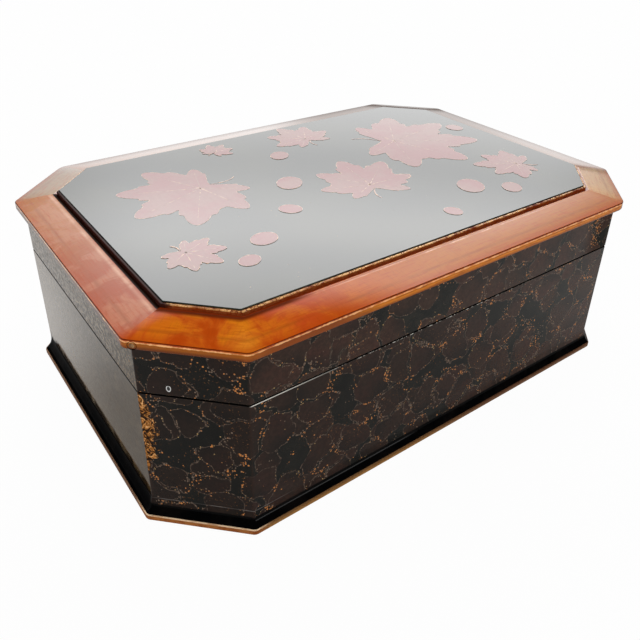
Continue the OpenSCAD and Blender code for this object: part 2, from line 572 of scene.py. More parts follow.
@group("leaf scatter",
       [("Vector", "Vector", None), ("Leaf size", "Float", 20.0), ("Dot spacing", "Float", 0.8)],
       [("Leaf", "Float"), ("Tone", "Float"), ("Shade", "Float"), ("Line", "Float"), ("Dot", "Float"),
        ("Dot tone", "Float")])
def leaf_scatter(n, given):
    """Two overlapping layers of leaves with broken lines and dots along their edges."""
    vector = given["Vector"]
    shifted = n.vector("ADD", vector, STAGGER)
    under_size = n.math("MULTIPLY", given["Leaf size"], UNDER_SHARE)
    dots = n.cells(vector, n.math("DIVIDE", 1.0, given["Dot spacing"]), flat=True)
    centre = dots["Position"]
    centre_shifted = n.vector("ADD", centre, STAGGER)
    over = n.place("leaf field", vector=vector, size=given["Leaf size"], gap=OVER_GAP)
    under = n.place("leaf field", vector=shifted, size=under_size, gap=UNDER_GAP)
    over_dot = n.place("leaf field", vector=centre, size=given["Leaf size"], gap=OVER_GAP)
    under_dot = n.place("leaf field", vector=centre_shifted, size=under_size, gap=UNDER_GAP)

    def line(a, b, width):
        own = n.ease(n.math("ABSOLUTE", a), width, width * 0.4)
        other = n.ease(n.math("ABSOLUTE", b), width, width * 0.4)
        hidden = n.ease(a, 0.0, -0.3)
        return n.math("MAXIMUM", own, n.math("MULTIPLY", other, hidden))

    over_fill = n.ease(over["Edge"], -0.5, 0.7)
    under_fill = n.ease(under["Edge"], -0.5, 0.7)
    leaf = n.math("MAXIMUM", over_fill, under_fill)
    tone = n.blend(over_fill, under["Tone"], over["Tone"])
    lean = n.blend(over_fill, under["Lean"], over["Lean"])
    chance = n.add("SeparateColor", {0: dots["Color"]}).outputs
    drift = n.noise(centre, scale=0.11, detail=2.0, flat=True)["Fac"]
    amount = n.ease(drift, 0.38, 0.62, 0.25, 1.0)
    on_line = n.math("MULTIPLY", line(over_dot["Edge"], under_dot["Edge"], DOTTED_WIDTH), amount)
    near_edge = n.ease(over_dot["Edge"], 6.0, 0.0)
    leaning = n.ease(over_dot["Lean"], 0.02, 0.4)
    cluster = n.math("MULTIPLY", n.math("MULTIPLY", near_edge, leaning), n.ease(drift, 0.45, 0.65))
    odds = n.math("MAXIMUM", n.math("MULTIPLY", on_line, 0.9), n.math("MULTIPLY", cluster, 0.5))
    odds = n.math("MAXIMUM", odds, 0.004)
    lit = n.math("LESS_THAN", chance[0], odds)
    rich = n.ease(drift, 0.50, 0.62)
    radius = n.math("ADD", n.math("MULTIPLY", chance[1], n.blend(rich, 0.18, 0.36)), 0.10)
    shape = n.ease(n.math("SUBTRACT", dots["Distance"], radius), 0.08, -0.06)
    fine = n.noise(vector, scale=0.6, detail=2.0, flat=True)["Fac"]
    broken = n.ease(fine, 0.38, 0.6, 0.1, 1.0)
    thin = n.math("MULTIPLY", line(over["Edge"], under["Edge"], DRAWN_WIDTH), broken)
    return {"Leaf": leaf, "Tone": tone, "Shade": lean, "Line": thin,
            "Dot": n.math("MULTIPLY", lit, shape),
            "Dot tone": n.math("MAXIMUM", chance[2], n.math("MULTIPLY", rich, 0.8))}


@group("edge wear",
       [("Distance", "Float", 50.0), ("Width", "Float", 1.0), ("Vector", "Vector", None),
        ("Grain", "Float", 0.7)],
       [("Mask", "Float")])
def edge_wear(n, given):
    """Where an arris is rubbed: close to it, in broken patches."""
    patchy = n.noise(given["Vector"], scale=given["Grain"], detail=5.0, roughness=0.65)["Fac"]
    reach = n.math("MULTIPLY", given["Width"], n.ease(patchy, 0.35, 0.75, 0.15, 1.6))
    left = n.math("SUBTRACT", reach, given["Distance"])
    return {"Mask": n.ease(left, -0.15, 0.25)}


@group("lacquer skin",
       [("Vector", "Vector", None), ("Ripple", "Float", 1.0), ("Dust", "Float", 1.0)],
       [("Height", "Float"), ("Haze", "Float")])
def lacquer_skin(n, given):
    """The slow ripple of brushed lacquer, with dust nibs and a faint haze."""
    wide = n.noise(given["Vector"], scale=0.028, detail=2.0)["Fac"]
    close = n.noise(given["Vector"], scale=0.22, detail=2.0, roughness=0.55)["Fac"]
    ripple = n.math("ADD", n.math("MULTIPLY", wide, 0.55), n.math("MULTIPLY", close, 0.06))
    ripple = n.math("MULTIPLY", ripple, given["Ripple"])
    nibs = n.cells(given["Vector"], scale=0.16)
    nib = n.math("MULTIPLY", n.ease(nibs["Distance"], 0.06, 0.02), given["Dust"])
    height = n.math("ADD", ripple, n.math("MULTIPLY", nib, 0.02))
    rub = n.noise(given["Vector"], scale=0.05, detail=6.0, roughness=0.7)["Fac"]
    return {"Height": height, "Haze": n.ease(rub, 0.4, 0.75)}


@group("gold sprinkle",
       [("Vector", "Vector", None), ("Spacing", "Float", 1.2), ("Amount", "Float", 0.3)],
       [("Mask", "Float"), ("Tone", "Float")])
def gold_sprinkle(n, given):
    """Fine flakes of gold dust, thicker in some places than in others."""
    flakes = n.cells(given["Vector"], n.math("DIVIDE", 1.0, given["Spacing"]))
    chance = n.add("SeparateColor", {0: flakes["Color"]}).outputs
    drift = n.noise(given["Vector"], scale=0.03, detail=2.0)["Fac"]
    odds = n.math("MULTIPLY", n.ease(drift, *CLOUDY, 0.3, 1.5), given["Amount"])
    lit = n.math("LESS_THAN", chance[0], odds)
    size = n.math("ADD", n.math("MULTIPLY", chance[1], 0.2), 0.1)
    shape = n.ease(n.math("SUBTRACT", flakes["Distance"], size), 0.06, -0.04)
    return {"Mask": n.math("MULTIPLY", lit, shape), "Tone": chance[2]}


@group("crackle",
       [("Vector", "Vector", None), ("Spacing", "Float", 1.5), ("Width", "Float", 0.08)],
       [("Mask", "Float")])
def crackle(n, given):
    """The fine net of cracks in an old gilt or painted ground."""
    warp = n.noise(given["Vector"], scale=0.8, detail=2.0)["Color"]
    moved = n.vector("ADD", given["Vector"], n.scaled(warp, 1.1))
    net = n.cells(moved, n.math("DIVIDE", 1.0, given["Spacing"]), feature="DISTANCE_TO_EDGE")["Distance"]
    patch = n.noise(given["Vector"], scale=0.25, detail=2.0)["Fac"]
    width = n.math("MULTIPLY", given["Width"], n.ease(patch, *CLOUDY, 0.2, 1.4))
    return {"Mask": n.ease(n.math("SUBTRACT", net, width), 0.03, -0.01)}


# ---------------------------------------------------------------- finishes

FINISH_MARK = "_finish"
# The middle of the rim's near cut corner, around which the amber is painted brighter as painted light.
BRIGHTENED_CORNER = (-HALF_LENGTH + CORNER_CUT / 2, -HALF_WIDTH + CORNER_CUT / 2, RIM_Z + RIM_FACE)
# The left side and the near cut corner, in millimetres along the perimeter.
LEFT = (STARTS[6], STARTS[7])
NEAR_CUT = (STARTS[7], 0.0)

# Colours that make up the finishes, as linear red, green and blue.
WALL_TINTS = {
    "lacquer_green": (0.0075, 0.0075, 0.0062), "lacquer_warm": (0.017, 0.016, 0.012),
    "leaf_brown": (0.04, 0.02, 0.013), "leaf_russet": (0.058, 0.023, 0.016),
    "leaf_faded": (0.052, 0.027, 0.018), "leaf_shade": (0.014, 0.01, 0.008),
    "leaf_mottle": (0.016, 0.01, 0.007), "lacquer_mottle": (0.026, 0.019, 0.014),
    "corner_painted_shade": (0.0035, 0.0028, 0.002), "rust_flake": (0.23, 0.095, 0.03),
    "drawn_line": (0.13, 0.088, 0.064), "dull_gold": (0.18, 0.125, 0.09),
    "orange_gold": (0.58, 0.22, 0.06),
    "worn_brown": (0.026, 0.013, 0.009), "seam_rub": (0.06, 0.035, 0.02),
    "seam_painted_shade": (0.001, 0.001, 0.001), "rust_dark": (0.02, 0.01, 0.006), "rust_gold": (0.5, 0.19, 0.04),
    "rust_bright": (0.85, 0.52, 0.24), "painted_sheen_olive": (0.06, 0.034, 0.008), "painted_sheen_tan": (0.2, 0.135, 0.062),
    "painted_sheen_pale": (0.36, 0.3, 0.235), "painted_sheen_speck": (0.02, 0.012, 0.005), "wall_foot_painted_shade": (0.008, 0.005, 0.004),
    "arris_highlight_and_chips": (0.78, 0.75, 0.68), "chip_ring": (0.75, 0.75, 0.74), "chip_pit": (0.03, 0.03, 0.03),
}
PLINTH_TINTS = {
    "cove_black": (0.0012, 0.0012, 0.0014), "cove_brown": (0.004, 0.0032, 0.003),
    "foot_copper": (0.3, 0.085, 0.022), "foot_speck": (0.05, 0.02, 0.012), "foot_tan": (0.42, 0.24, 0.075),
    "foot_arris_highlight": (1.0, 0.72, 0.46), "foot_far_dull": (0.2, 0.095, 0.052), "gilt_top_painted_shade": (0.06, 0.02, 0.01),
    "cove_lip_highlight": (0.2, 0.18, 0.17),
}
FRAME_TINTS = {
    "far_right_painted_reflection": (0.62, 0.36, 0.15), "far_left_painted_reflection": (0.42, 0.27, 0.15),
    "pink_tone_and_reflection": (0.6, 0.27, 0.16), "golden_amber": (0.78, 0.27, 0.022),
    "ruddy_amber": (0.54, 0.07, 0.012), "flushed_mitre": (0.58, 0.075, 0.008),
    "hatch_brown": (0.2, 0.035, 0.004), "slope_streak": (0.28, 0.055, 0.006),
    "slope_shadow": (0.13, 0.02, 0.004), "face_low": (0.25, 0.055, 0.003), "face_high": (0.74, 0.22, 0.006),
    "face_dulled": (0.26, 0.056, 0.004), "face_stroke": (0.28, 0.055, 0.003),
    "corner_face_low": (0.15, 0.03, 0.001), "corner_face_high": (0.4, 0.11, 0.004),
    "rim_underside_painted_shade": (0.16, 0.04, 0.006), "inside_line": (0.1, 0.012, 0.001),
    "below_line": (0.22, 0.035, 0.003), "groove_red": (0.24, 0.03, 0.005),
    "shoulder_painted_highlight": (0.95, 0.56, 0.36), "shoulder_painted_dark_line": (0.16, 0.02, 0.004),
    "left_painted_highlight": (0.9, 0.56, 0.38), "left_bead_painted_shade": (0.012, 0.004, 0.002), "amber_pore": (0.12, 0.03, 0.01),
    "mitre_brown": (0.28, 0.06, 0.01), "grazing_painted_shade": (0.04, 0.03, 0.02), "arris_rub_and_highlight": (0.98, 0.5, 0.2),
}
PANEL_TINTS = {
    "panel_cloud": (0.026, 0.028, 0.017), "panel_dust": (0.2, 0.14, 0.07),
    "panel_edge": (0.004, 0.003, 0.003), "paint_faded": (0.24, 0.085, 0.065),
    "paint_streak": (0.17, 0.035, 0.03), "line_gold": (0.4, 0.22, 0.12), "line_rubbed": (0.22, 0.09, 0.06),
}
SMALL_TINTS = {
    "bead_orange": (0.45, 0.13, 0.02), "bead_bare": (0.14, 0.02, 0.005), "bead_crack": (0.16, 0.025, 0.006),
    "bead_side": (0.22, 0.03, 0.005), "bead_left": (0.04, 0.01, 0.007),
    "dust_orange": (0.55, 0.26, 0.08), "inside_cloud": (0.24, 0.035, 0.022),
    "tray_cloud": (0.020, 0.016, 0.014),
    "peg_wood": (0.34, 0.19, 0.075), "peg_dark": (0.16, 0.065, 0.018), "peg_groove": (0.012, 0.005, 0.002),
}
TINTS = {**WALL_TINTS, **PLINTH_TINTS, **FRAME_TINTS, **PANEL_TINTS, **SMALL_TINTS}


def tint(name):
    return rgb(TINTS[name])


def finish_base(name):
    """A new material with its node helper and shader."""
    material = bpy.data.materials.new(name + FINISH_MARK)
    material.use_nodes = True
    material.node_tree.nodes.clear()
    n = Nodes(material.node_tree)
    shader = n.add("BsdfPrincipled")
    out = n.add("OutputMaterial")
    n.feed(out.inputs["Surface"], shader.outputs[0])
    return material, n, shader


def map_of(n, name):
    """One of the two maps of a piece: perimeter and height, or mitre distance and section run."""
    return n.add("UVMap", uv_map=name).outputs[0]


def solid_place(n):
    """The object's own coordinates in millimetres."""
    return n.scaled(n.add("TexCoord").outputs["Object"], 1.0 / MM)


def bumped(n, shader, height):
    """Feeds a bump of real height, in millimetres, to the shader."""
    bump = n.add("Bump", {"Height": height, "Distance": MM, "Strength": 1.0})
    n.feed(shader.inputs["Normal"], bump.outputs[0])


def lacquer(shader, roughness, coat=1.0, coat_roughness=0.05, coat_ior=1.5):
    """A coat of clear polish over a ground that doesn't shine by itself."""
    shader.inputs["Roughness"].default_value = roughness
    shader.inputs["Coat Weight"].default_value = coat
    shader.inputs["Coat Roughness"].default_value = coat_roughness
    shader.inputs["Coat IOR"].default_value = coat_ior
    shader.inputs["Specular IOR Level"].default_value = 0.0


def above_joint(n, height):
    """1 on the lid's walls, 0 on the base's."""
    return n.ease(height, SEAM_Z - 0.2, SEAM_Z + 0.2)


def leaf_coat(n, flat, look):
    """Black lacquer with brown leaves and gold dots: its colour, the leaves' masks and a slow cloud."""
    along, height, _ = n.apart(flat)
    leaves = n.place("leaf scatter", vector=flat, leaf_size=look.leaf_size, dot_spacing=look.dot_spacing)
    cloud = n.noise(flat, scale=0.12, detail=4.0, roughness=0.6, flat=True)["Fac"]
    mottle = n.noise(flat, scale=0.45, detail=5.0, roughness=0.75, flat=True)["Fac"]
    ground = n.mix(n.ease(cloud, 0.35, 0.7), tint("lacquer_green"), tint("lacquer_warm"))
    ground = coated(n, ground, (n.ease(mottle, 0.50, 0.66, 0.0, 0.5), "lacquer_mottle"))
    brown = n.mix(leaves["Tone"], tint("leaf_brown"), tint("leaf_russet"))
    brown = coated(n, brown,
                   (n.ease(cloud, 0.3, 0.75), "leaf_faded"),
                   (n.ease(leaves["Shade"], 0.05, -0.45, 0.0, 0.85), "leaf_shade"),
                   (n.ease(mottle, 0.42, 0.60, 0.40, 0.0), "leaf_mottle"))
    # Painted shade: the walls of the near cut corner, and the base's front towards that corner, are darkened
    # towards black, standing in for the shadowed floor that they mirror.
    cut_corner = n.math("MULTIPLY", n.window(along, *NEAR_CUT, 1.0), 0.68)
    below_joint = n.ease(height, SEAM_Z, SEAM_Z - 1.0)
    low_near = n.math("MULTIPLY", below_joint, n.ease(along, 210.0, 80.0, 0.0, 0.42))
    drift = n.noise(flat, scale=0.045, detail=2.0, flat=True)["Fac"]
    flake = n.noise(flat, scale=0.75, detail=4.0, roughness=0.7, flat=True)["Fac"]
    flake = n.math("MULTIPLY", n.ease(flake, 0.63, 0.70), n.ease(drift, 0.50, 0.60))
    colour = coated(n, n.mix(leaves["Leaf"], ground, brown),
                    (n.math("MAXIMUM", cut_corner, low_near), "corner_painted_shade"),
                    (n.math("MULTIPLY", flake, 0.75), "rust_flake"),
                    (n.math("MULTIPLY", leaves["Line"], 0.7), "drawn_line"))
    rusty = n.math("ADD", leaves["Dot tone"], n.ease(cloud, 0.46, 0.60, -0.1, 0.35))
    gold = n.mix(n.ease(rusty, 0.75, 0.95), tint("dull_gold"), tint("orange_gold"))
    gold = n.mix(n.ease(leaves["Dot tone"], 0.25, 0.05), gold, rgb(look.gold))
    return n.mix(leaves["Dot"], colour, gold), leaves, cloud


def painted_grazing_sheen(n, flat, height, cloud):
    """A painted sheen at low viewing angles, standing in for the floor's reflection: its share, its colour,
    the painted shade at the wall's foot and the dullness.
    """
    facing = n.add("LayerWeight", {"Blend": 0.5}).outputs["Facing"]
    on_lid = above_joint(n, height)
    grain = n.noise(flat, scale=0.42, detail=6.0, roughness=0.75, flat=True)["Fac"]
    speckle = n.noise(flat, scale=1.6, detail=3.0, roughness=0.6, flat=True)["Fac"]
    cloudy = n.blend(on_lid, n.ease(cloud, 0.45, 0.6, 0.0, 0.55), 1.0)
    pale = n.math("MULTIPLY", n.ease(grain, 0.46, 0.60), cloudy)
    steep = n.math("MULTIPLY", n.ease(facing, 0.79, 0.85), n.blend(on_lid, 0.75, 0.12))
    dark = n.math("MULTIPLY", n.ease(speckle, 0.50, 0.64, 0.0, 0.6), n.blend(on_lid, 0.3, 1.0))
    haze = n.mix(pale, tint("painted_sheen_olive"), tint("painted_sheen_tan"))
    haze = coated(n, haze, (steep, "painted_sheen_pale"), (dark, "painted_sheen_speck"))
    share = n.ease(facing, 0.64, 0.80, 0.0, 0.9)
    # Painted shade on the walls' foot just above the plinth, shown at low viewing angles.
    foot = n.math("ADD", height, n.ease(cloud, 0.3, 0.7, -2.5, 2.5))
    foot = n.math("MULTIPLY", share, n.ease(foot, PLINTH_Z + 5.5, PLINTH_Z + 1.0))
    matt = n.math("MULTIPLY", share, n.ease(grain, 0.36, 0.62, 0.42, 0.0))
    matt = n.math("MULTIPLY", matt, n.blend(on_lid, 0.36, 1.0))
    matt = n.math("MAXIMUM", matt, n.math("MULTIPLY", foot, 0.85))
    return share, haze, foot, matt


def patterned_finish(look):
    """Black lacquer with brown leaves, edged in fine gold dots."""
    material, n, shader = finish_base("patterned_lacquer")
    flat = map_of(n, "perimeter")
    section = n.apart(map_of(n, "section"))
    place = solid_place(n)
    along, height, _ = n.apart(flat)
    colour, leaves, cloud = leaf_coat(n, flat, look)
    worn = n.place("edge wear", distance=section[0], width=1.3, vector=place, grain=0.35)["Mask"]
    seam = n.math("ABSOLUTE", n.math("SUBTRACT", height, SEAM_Z))
    rubbed = n.place("edge wear", distance=seam, width=0.9, vector=place, grain=0.5)["Mask"]
    # Within a few tenths of a millimetre of the joint the edges are painted black: painted shade in the gap
    # between base and lid.
    colour = coated(n, colour,
                    (n.math("MULTIPLY", worn, 0.5), "worn_brown"),
                    (n.math("MULTIPLY", rubbed, 0.35), "seam_rub"),
                    (n.ease(seam, 0.6, 0.35), "seam_painted_shade"))
    bare = n.math("MULTIPLY", worn_patch(n, flat), n.ease(height, SEAM_Z, SEAM_Z - 0.4))
    grime = n.noise(flat, scale=0.3, detail=3.0, roughness=0.55, distortion=2.4, flat=True)["Fac"]
    rust = n.mix(n.ease(grime, 0.42, 0.6), tint("rust_dark"), tint("rust_gold"))
    rust = coated(n, rust, (n.ease(grime, 0.58, 0.70), "rust_bright"))
    colour = n.mix(bare, colour, rust)
    # The pale colour mixed in at low viewing angles is a painted sheen, standing in for the floor's
    # reflection.
    share, haze, foot, matt = painted_grazing_sheen(n, flat, height, cloud)
    chip, pit = chip_mark(n, flat)
    colour = coated(n, n.mix(share, colour, haze),
                    (foot, "wall_foot_painted_shade"),
                    (arris_highlight_mask(n, flat, height), "arris_highlight_and_chips"),
                    (chip, "chip_ring"),
                    (pit, "chip_pit"))
    n.feed(shader.inputs["Base Color"], colour)
    skin = n.place("lacquer skin", vector=place, ripple=look.ripple, dust=0.6)
    lacquer(shader, roughness=0.4, coat=1.0, coat_roughness=0.06, coat_ior=1.25)
    on_lid = above_joint(n, height)
    dull = n.math("MULTIPLY", on_lid, n.window(along, LENGTHS[0] - 18.0, LENGTHS[0] + 4.0, 8.0))
    dull = n.math("MAXIMUM", n.math("MULTIPLY", bare, 0.7), n.math("MULTIPLY", dull, 0.75))
    shine = n.math("SUBTRACT", n.math("SUBTRACT", 1.0, dull), matt, clamp=True)
    n.feed(shader.inputs["Coat Weight"], shine)
    n.feed(shader.inputs["Roughness"], n.blend(leaves["Dot"], n.blend(skin["Haze"], 0.34, 0.46), 0.3))
    raised = n.math("ADD", skin["Height"], n.math("MULTIPLY", leaves["Dot"], 0.018))
    raised = n.math("ADD", raised, n.math("MULTIPLY", leaves["Leaf"], 0.008))
    bumped(n, shader, raised)
    return material


# The worn patch on the base: from and to in height, how softly, and half its width.
WORN_HEIGHTS = (32.0, 64.0, 9.0)
WORN_WIDTH = 3.7
# The pale line on the base's arris at the joint, a painted highlight: its height below the joint, and its run
# along the front, whole and broken.
PALE_LINE = (SEAM_Z - 0.66, SEAM_Z - 0.30, 0.1)
PALE_RUN = (0.4, 44.0, 1.0)
SPOT_RUN = (40.0, 150.0, 30.0)
# The chip: where it lies, how its ring is stretched, and the ring's radii.
CHIP_PLACE = (STARTS[7] + 13.2, 72.9, 0.0)
CHIP_STRETCH = (1.12, 0.72, 0.0)
CHIP_RING = (0.78, 1.12, 0.12)


def worn_patch(n, flat):
    """The rubbed corner of the base, down to its rust-gold ground."""
    along, up, _ = n.apart(flat)
    across = n.math("SUBTRACT", along, STARTS[7])
    ragged = n.noise(flat, scale=0.3, detail=5.0, roughness=0.7, flat=True)["Fac"]
    reach = n.math("MULTIPLY", n.ease(ragged, 0.3, 0.7, 0.6, 2.1), n.window(up, *WORN_HEIGHTS))
    near = n.math("SUBTRACT", n.math("MULTIPLY", reach, WORN_WIDTH), n.math("ABSOLUTE", across))
    return n.math("MULTIPLY", n.ease(near, -0.2, 0.6), n.math("GREATER_THAN", across, -0.3))


def arris_highlight_mask(n, flat, height):
    """A painted highlight along the base's upper edge near the front corner: a thin pale line, breaking
    further on into pale spots that are partly painted highlight and partly chips in the lacquer.
    """
    run = n.apart(flat)[0]
    whole = n.math("MULTIPLY", n.window(run, *PALE_RUN), n.ease(run, 46.0, 10.0, 0.2, 1.0))
    broken = n.noise(flat, scale=0.45, detail=4.0, roughness=0.7, flat=True)["Fac"]
    spots = n.math("MULTIPLY", n.ease(broken, 0.52, 0.60), n.window(run, *SPOT_RUN))
    worn = n.math("MAXIMUM", whole, n.math("MULTIPLY", spots, 0.8))
    return n.math("MULTIPLY", n.window(height, *PALE_LINE), worn)


def chip_mark(n, flat):
    """A small pale ring where the lacquer is chipped, on the lid's near cut corner."""
    offset = n.vector("MULTIPLY", n.vector("SUBTRACT", flat, CHIP_PLACE), CHIP_STRETCH)
    away = n.add("VectorMath", {0: offset}, operation="LENGTH").outputs["Value"]
    shut = n.ease(n.apart(offset)[1], 1.0, 0.8)
    ring = n.math("MULTIPLY", n.window(away, *CHIP_RING), shut)
    return ring, n.ease(away, 0.8, 0.6)


def foot_gilding(n, along, height, tone, speck, look):
    """The gilt edge of the foot: a painted highlight along its arris at the near cut corner, tan in front
    with painted shade at its top, duller far off.
    """
    front = n.ease(along, 0.0, 8.0)
    arris = n.math("ABSOLUTE", n.math("SUBTRACT", height, FOOT_EDGE))
    # A painted highlight along the top arris of the gilt, strong at the near cut corner and faint in front.
    bright = n.math("MULTIPLY", n.ease(arris, 0.42, 0.15), n.ease(tone, 0.36, 0.5, 0.5, 1.0))
    bright = n.math("MULTIPLY", bright, n.blend(front, 1.0, 0.1))
    # The gilt is duller far along the front and past the left end of the near cut corner.
    past_corner = n.ease(along, STARTS[7] - 1.0, STARTS[7] - 12.0)
    far = n.math("MAXIMUM", n.ease(along, 70.0, 150.0), past_corner)
    # Painted shade on the upper part of the gilt in front, under the cove's step.
    gilt_top_shade = n.math("MULTIPLY", n.ease(height, FOOT_EDGE - 1.9, FOOT_EDGE - 0.1, 0.0, 0.55), front)
    gilt = n.mix(n.ease(tone, 0.35, 0.68), rgb(look.foot_gold), tint("foot_copper"))
    return coated(n, gilt,
                  (n.ease(speck, 0.62, 0.7), "foot_speck"),
                  (n.math("MULTIPLY", front, 0.6), "foot_tan"),
                  (bright, "foot_arris_highlight"),
                  (n.math("MULTIPLY", far, 0.9), "foot_far_dull"),
                  (gilt_top_shade, "gilt_top_painted_shade"))


def plinth_finish(look):
    """Black lacquer in the cove, leaves above it and a worn gilt edge at the foot."""
    material, n, shader = finish_base("plinth_lacquer")
    flat = map_of(n, "perimeter")
    along, height, _ = n.apart(flat)
    on_left = n.window(along, *LEFT, 2.0)
    place = solid_place(n)
    cloud = n.noise(place, scale=0.10, detail=4.0, roughness=0.6)["Fac"]
    gilt_tone = n.noise(place, scale=0.16, detail=5.0, roughness=0.65)["Fac"]
    speck = n.noise(place, scale=1.1, detail=3.0, roughness=0.6)["Fac"]
    foot = n.ease(height, FOOT_EDGE + 0.16, FOOT_EDGE + 0.02)
    black = n.mix(n.ease(cloud, 0.4, 0.7), tint("cove_black"), tint("cove_brown"))
    leafy = leaf_coat(n, flat, look)[0]
    above_cove = n.ease(height, LEAVES_END - 0.4, LEAVES_END + 0.4)
    # On the left side the leaves are left off and the plinth is all black there: painted shade.
    upper = n.math("MULTIPLY", above_cove, n.math("SUBTRACT", 1.0, on_left))
    # A painted highlight: a thin pale broken line along the top of the cove near the front corner.
    lip = n.window(height, PLINTH_Z - 1.15, PLINTH_Z - 0.85, 0.12)
    near = n.window(along, STARTS[7], 14.0, 10.0)
    lip = n.math("MULTIPLY", lip, n.math("MULTIPLY", near, n.ease(cloud, 0.38, 0.6, 0.25, 0.8)))
    colour = coated(n, n.mix(upper, black, leafy), (lip, "cove_lip_highlight"))
    colour = n.mix(foot, colour, foot_gilding(n, along, height, gilt_tone, speck, look))
    n.feed(shader.inputs["Base Color"], colour)
    skin = n.place("lacquer skin", vector=place, ripple=look.ripple, dust=0.8)
    lacquer(shader, roughness=0.3, coat=1.0, coat_roughness=0.05, coat_ior=1.25)
    n.feed(shader.inputs["Metallic"], n.math("MULTIPLY", foot, 0.2))
    n.feed(shader.inputs["Roughness"], n.blend(foot, 0.3, n.ease(gilt_tone, 0.3, 0.7, 0.32, 0.5)))
    cove_shine = n.blend(on_left, 0.3, 0.10)
    n.feed(shader.inputs["Coat Weight"], n.blend(foot, n.blend(upper, cove_shine, 1.0), 0.15))
    pitted = n.math("MULTIPLY", speck, n.math("MULTIPLY", foot, 0.05))
    bumped(n, shader, n.math("ADD", skin["Height"], pitted))
    return material


# Where the amber changes: from and to, in millimetres along the perimeter, and how softly.
GOLDEN_STRETCH = (-5.0, 3.0, 7.0)
RUDDY_STRETCH = (14.0, 33.0, 12.0)
FLUSHED_STRETCH = (STARTS[7] + 1.0, STARTS[7] + 14.0, 9.0)
# Where the painted highlight on the slope's shoulder runs.
HIGHLIGHT_STRETCH = (60.0, 175.0, 35.0)


class FramePlaces:
    """Where a point lies on the lid's frame, and how uneven its lacquer is there."""

    def __init__(self, n):
        section = n.apart(map_of(n, "section"))
        self.place = solid_place(n)
        self.along = n.apart(map_of(n, "perimeter"))[0]
        self.run = section[1]
        self.from_mitre = section[0]
        gap = n.add("VectorMath", {0: self.place, 1: BRIGHTENED_CORNER}, operation="DISTANCE")
        self.from_brightened_corner = gap.outputs["Value"]
        self.cloud = n.noise(self.place, scale=0.06, detail=4.0, roughness=0.6, distortion=0.8)["Fac"]
        strokes = n.together(n.math("MULTIPLY", self.along, 0.09), n.math("MULTIPLY", self.run, 0.9))
        self.strokes = n.noise(strokes, scale=1.0, detail=5.0, roughness=0.65, flat=True)["Fac"]
        hatch = n.together(n.math("MULTIPLY", self.along, 1.1), n.math("MULTIPLY", self.run, 0.16))
        self.hatch = n.noise(hatch, scale=1.0, detail=3.0, roughness=0.6, flat=True)["Fac"]
        self.fine = n.noise(self.place, scale=0.9, detail=4.0, roughness=0.65)["Fac"]


def amber_slope(n, at, inner, look):
    """The amber of the slope: brighter and redder by the near corner, tan towards the far ends; the
    brightening by the corner and the tan towards the far ends are painted light.
    """
    along, run, cloud = at.along, at.run, at.cloud
    # The left side's pink is partly the amber's own tone and partly painted reflection.
    to_pink = n.ease(along, LEFT[0] + 20.0, LEFT[1] - 30.0)
    left = n.mix(to_pink, rgb(look.amber_tan), rgb(look.amber_pink))
    left = coated(n, left, (n.ease(cloud, 0.42, 0.60, 0.0, 0.45), "pink_tone_and_reflection"))
    slope = n.mix(n.ease(along, 60.0, 235.0), rgb(look.amber), rgb(look.amber_tan))
    # The far cut corners are painted paler: painted reflections.
    slope = coated(n, slope,
                   (n.window(along, STARTS[1], STARTS[2], 3.0), "far_right_painted_reflection"),
                   (n.window(along, STARTS[5], STARTS[6], 3.0), "far_left_painted_reflection"))
    slope = n.mix(n.window(along, *LEFT, 4.0), slope, left)
    past_left = n.ease(along, STARTS[7] - 4.0, STARTS[7] + 4.0)
    # Painted light: the slope is painted brighter towards the near cut corner.
    near_corner_light = n.math("MULTIPLY", n.ease(at.from_brightened_corner, 130.0, 40.0), past_left)
    slope = n.mix(near_corner_light, slope, rgb(look.amber_bright))
    near_side = n.ease(along, STARTS[7] - 3.0, STARTS[7] + 3.0, 0.12, 1.0)
    close = n.math("MULTIPLY", n.ease(at.from_brightened_corner, 90.0, 25.0, 0.1, 0.95), near_side)
    slope = n.mix(n.math("MULTIPLY", close, n.ease(cloud, 0.40, 0.66)), slope, rgb(look.amber_gold))
    slope = n.mix(n.math("MULTIPLY", close, n.ease(cloud, 0.56, 0.38)), slope, rgb(look.amber_deep))
    golden = n.math("MULTIPLY", n.window(along, *GOLDEN_STRETCH),
                    n.ease(run, SLOPE_END - 3.0, RIM_FACE + 3.0, 0.35, 0.9))
    ruddy = n.math("MULTIPLY", n.window(along, *RUDDY_STRETCH), n.ease(cloud, 0.62, 0.42, 0.45, 0.95))
    flush = n.math("MULTIPLY", n.window(along, *FLUSHED_STRETCH), 0.4)
    slope = coated(n, slope, (golden, "golden_amber"), (ruddy, "ruddy_amber"), (flush, "flushed_mitre"))
    slope = n.mix(n.ease(at.strokes, 0.45, 0.75, 0.0, 0.55), slope, rgb(look.amber_deep))
    slope = coated(n, slope, (n.ease(at.hatch, 0.5, 0.75, 0.0, 0.16), "hatch_brown"))
    depth = n.blend(n.window(along, *LEFT, 6.0), 0.6, 0.25)
    slope = n.mix(n.ease(run, RIM_FACE + 6.0, RIM_FACE + 0.8, 0.0, depth), slope, rgb(look.amber_deep))
    streak = n.math("MULTIPLY", n.window(run, RIM_FACE + 6.0, RIM_FACE + 7.4, 1.0),
                    n.ease(cloud, 0.4, 0.6, 0.1, 0.45))
    return coated(n, slope, (streak, "slope_streak"), (inner, "slope_shadow"))


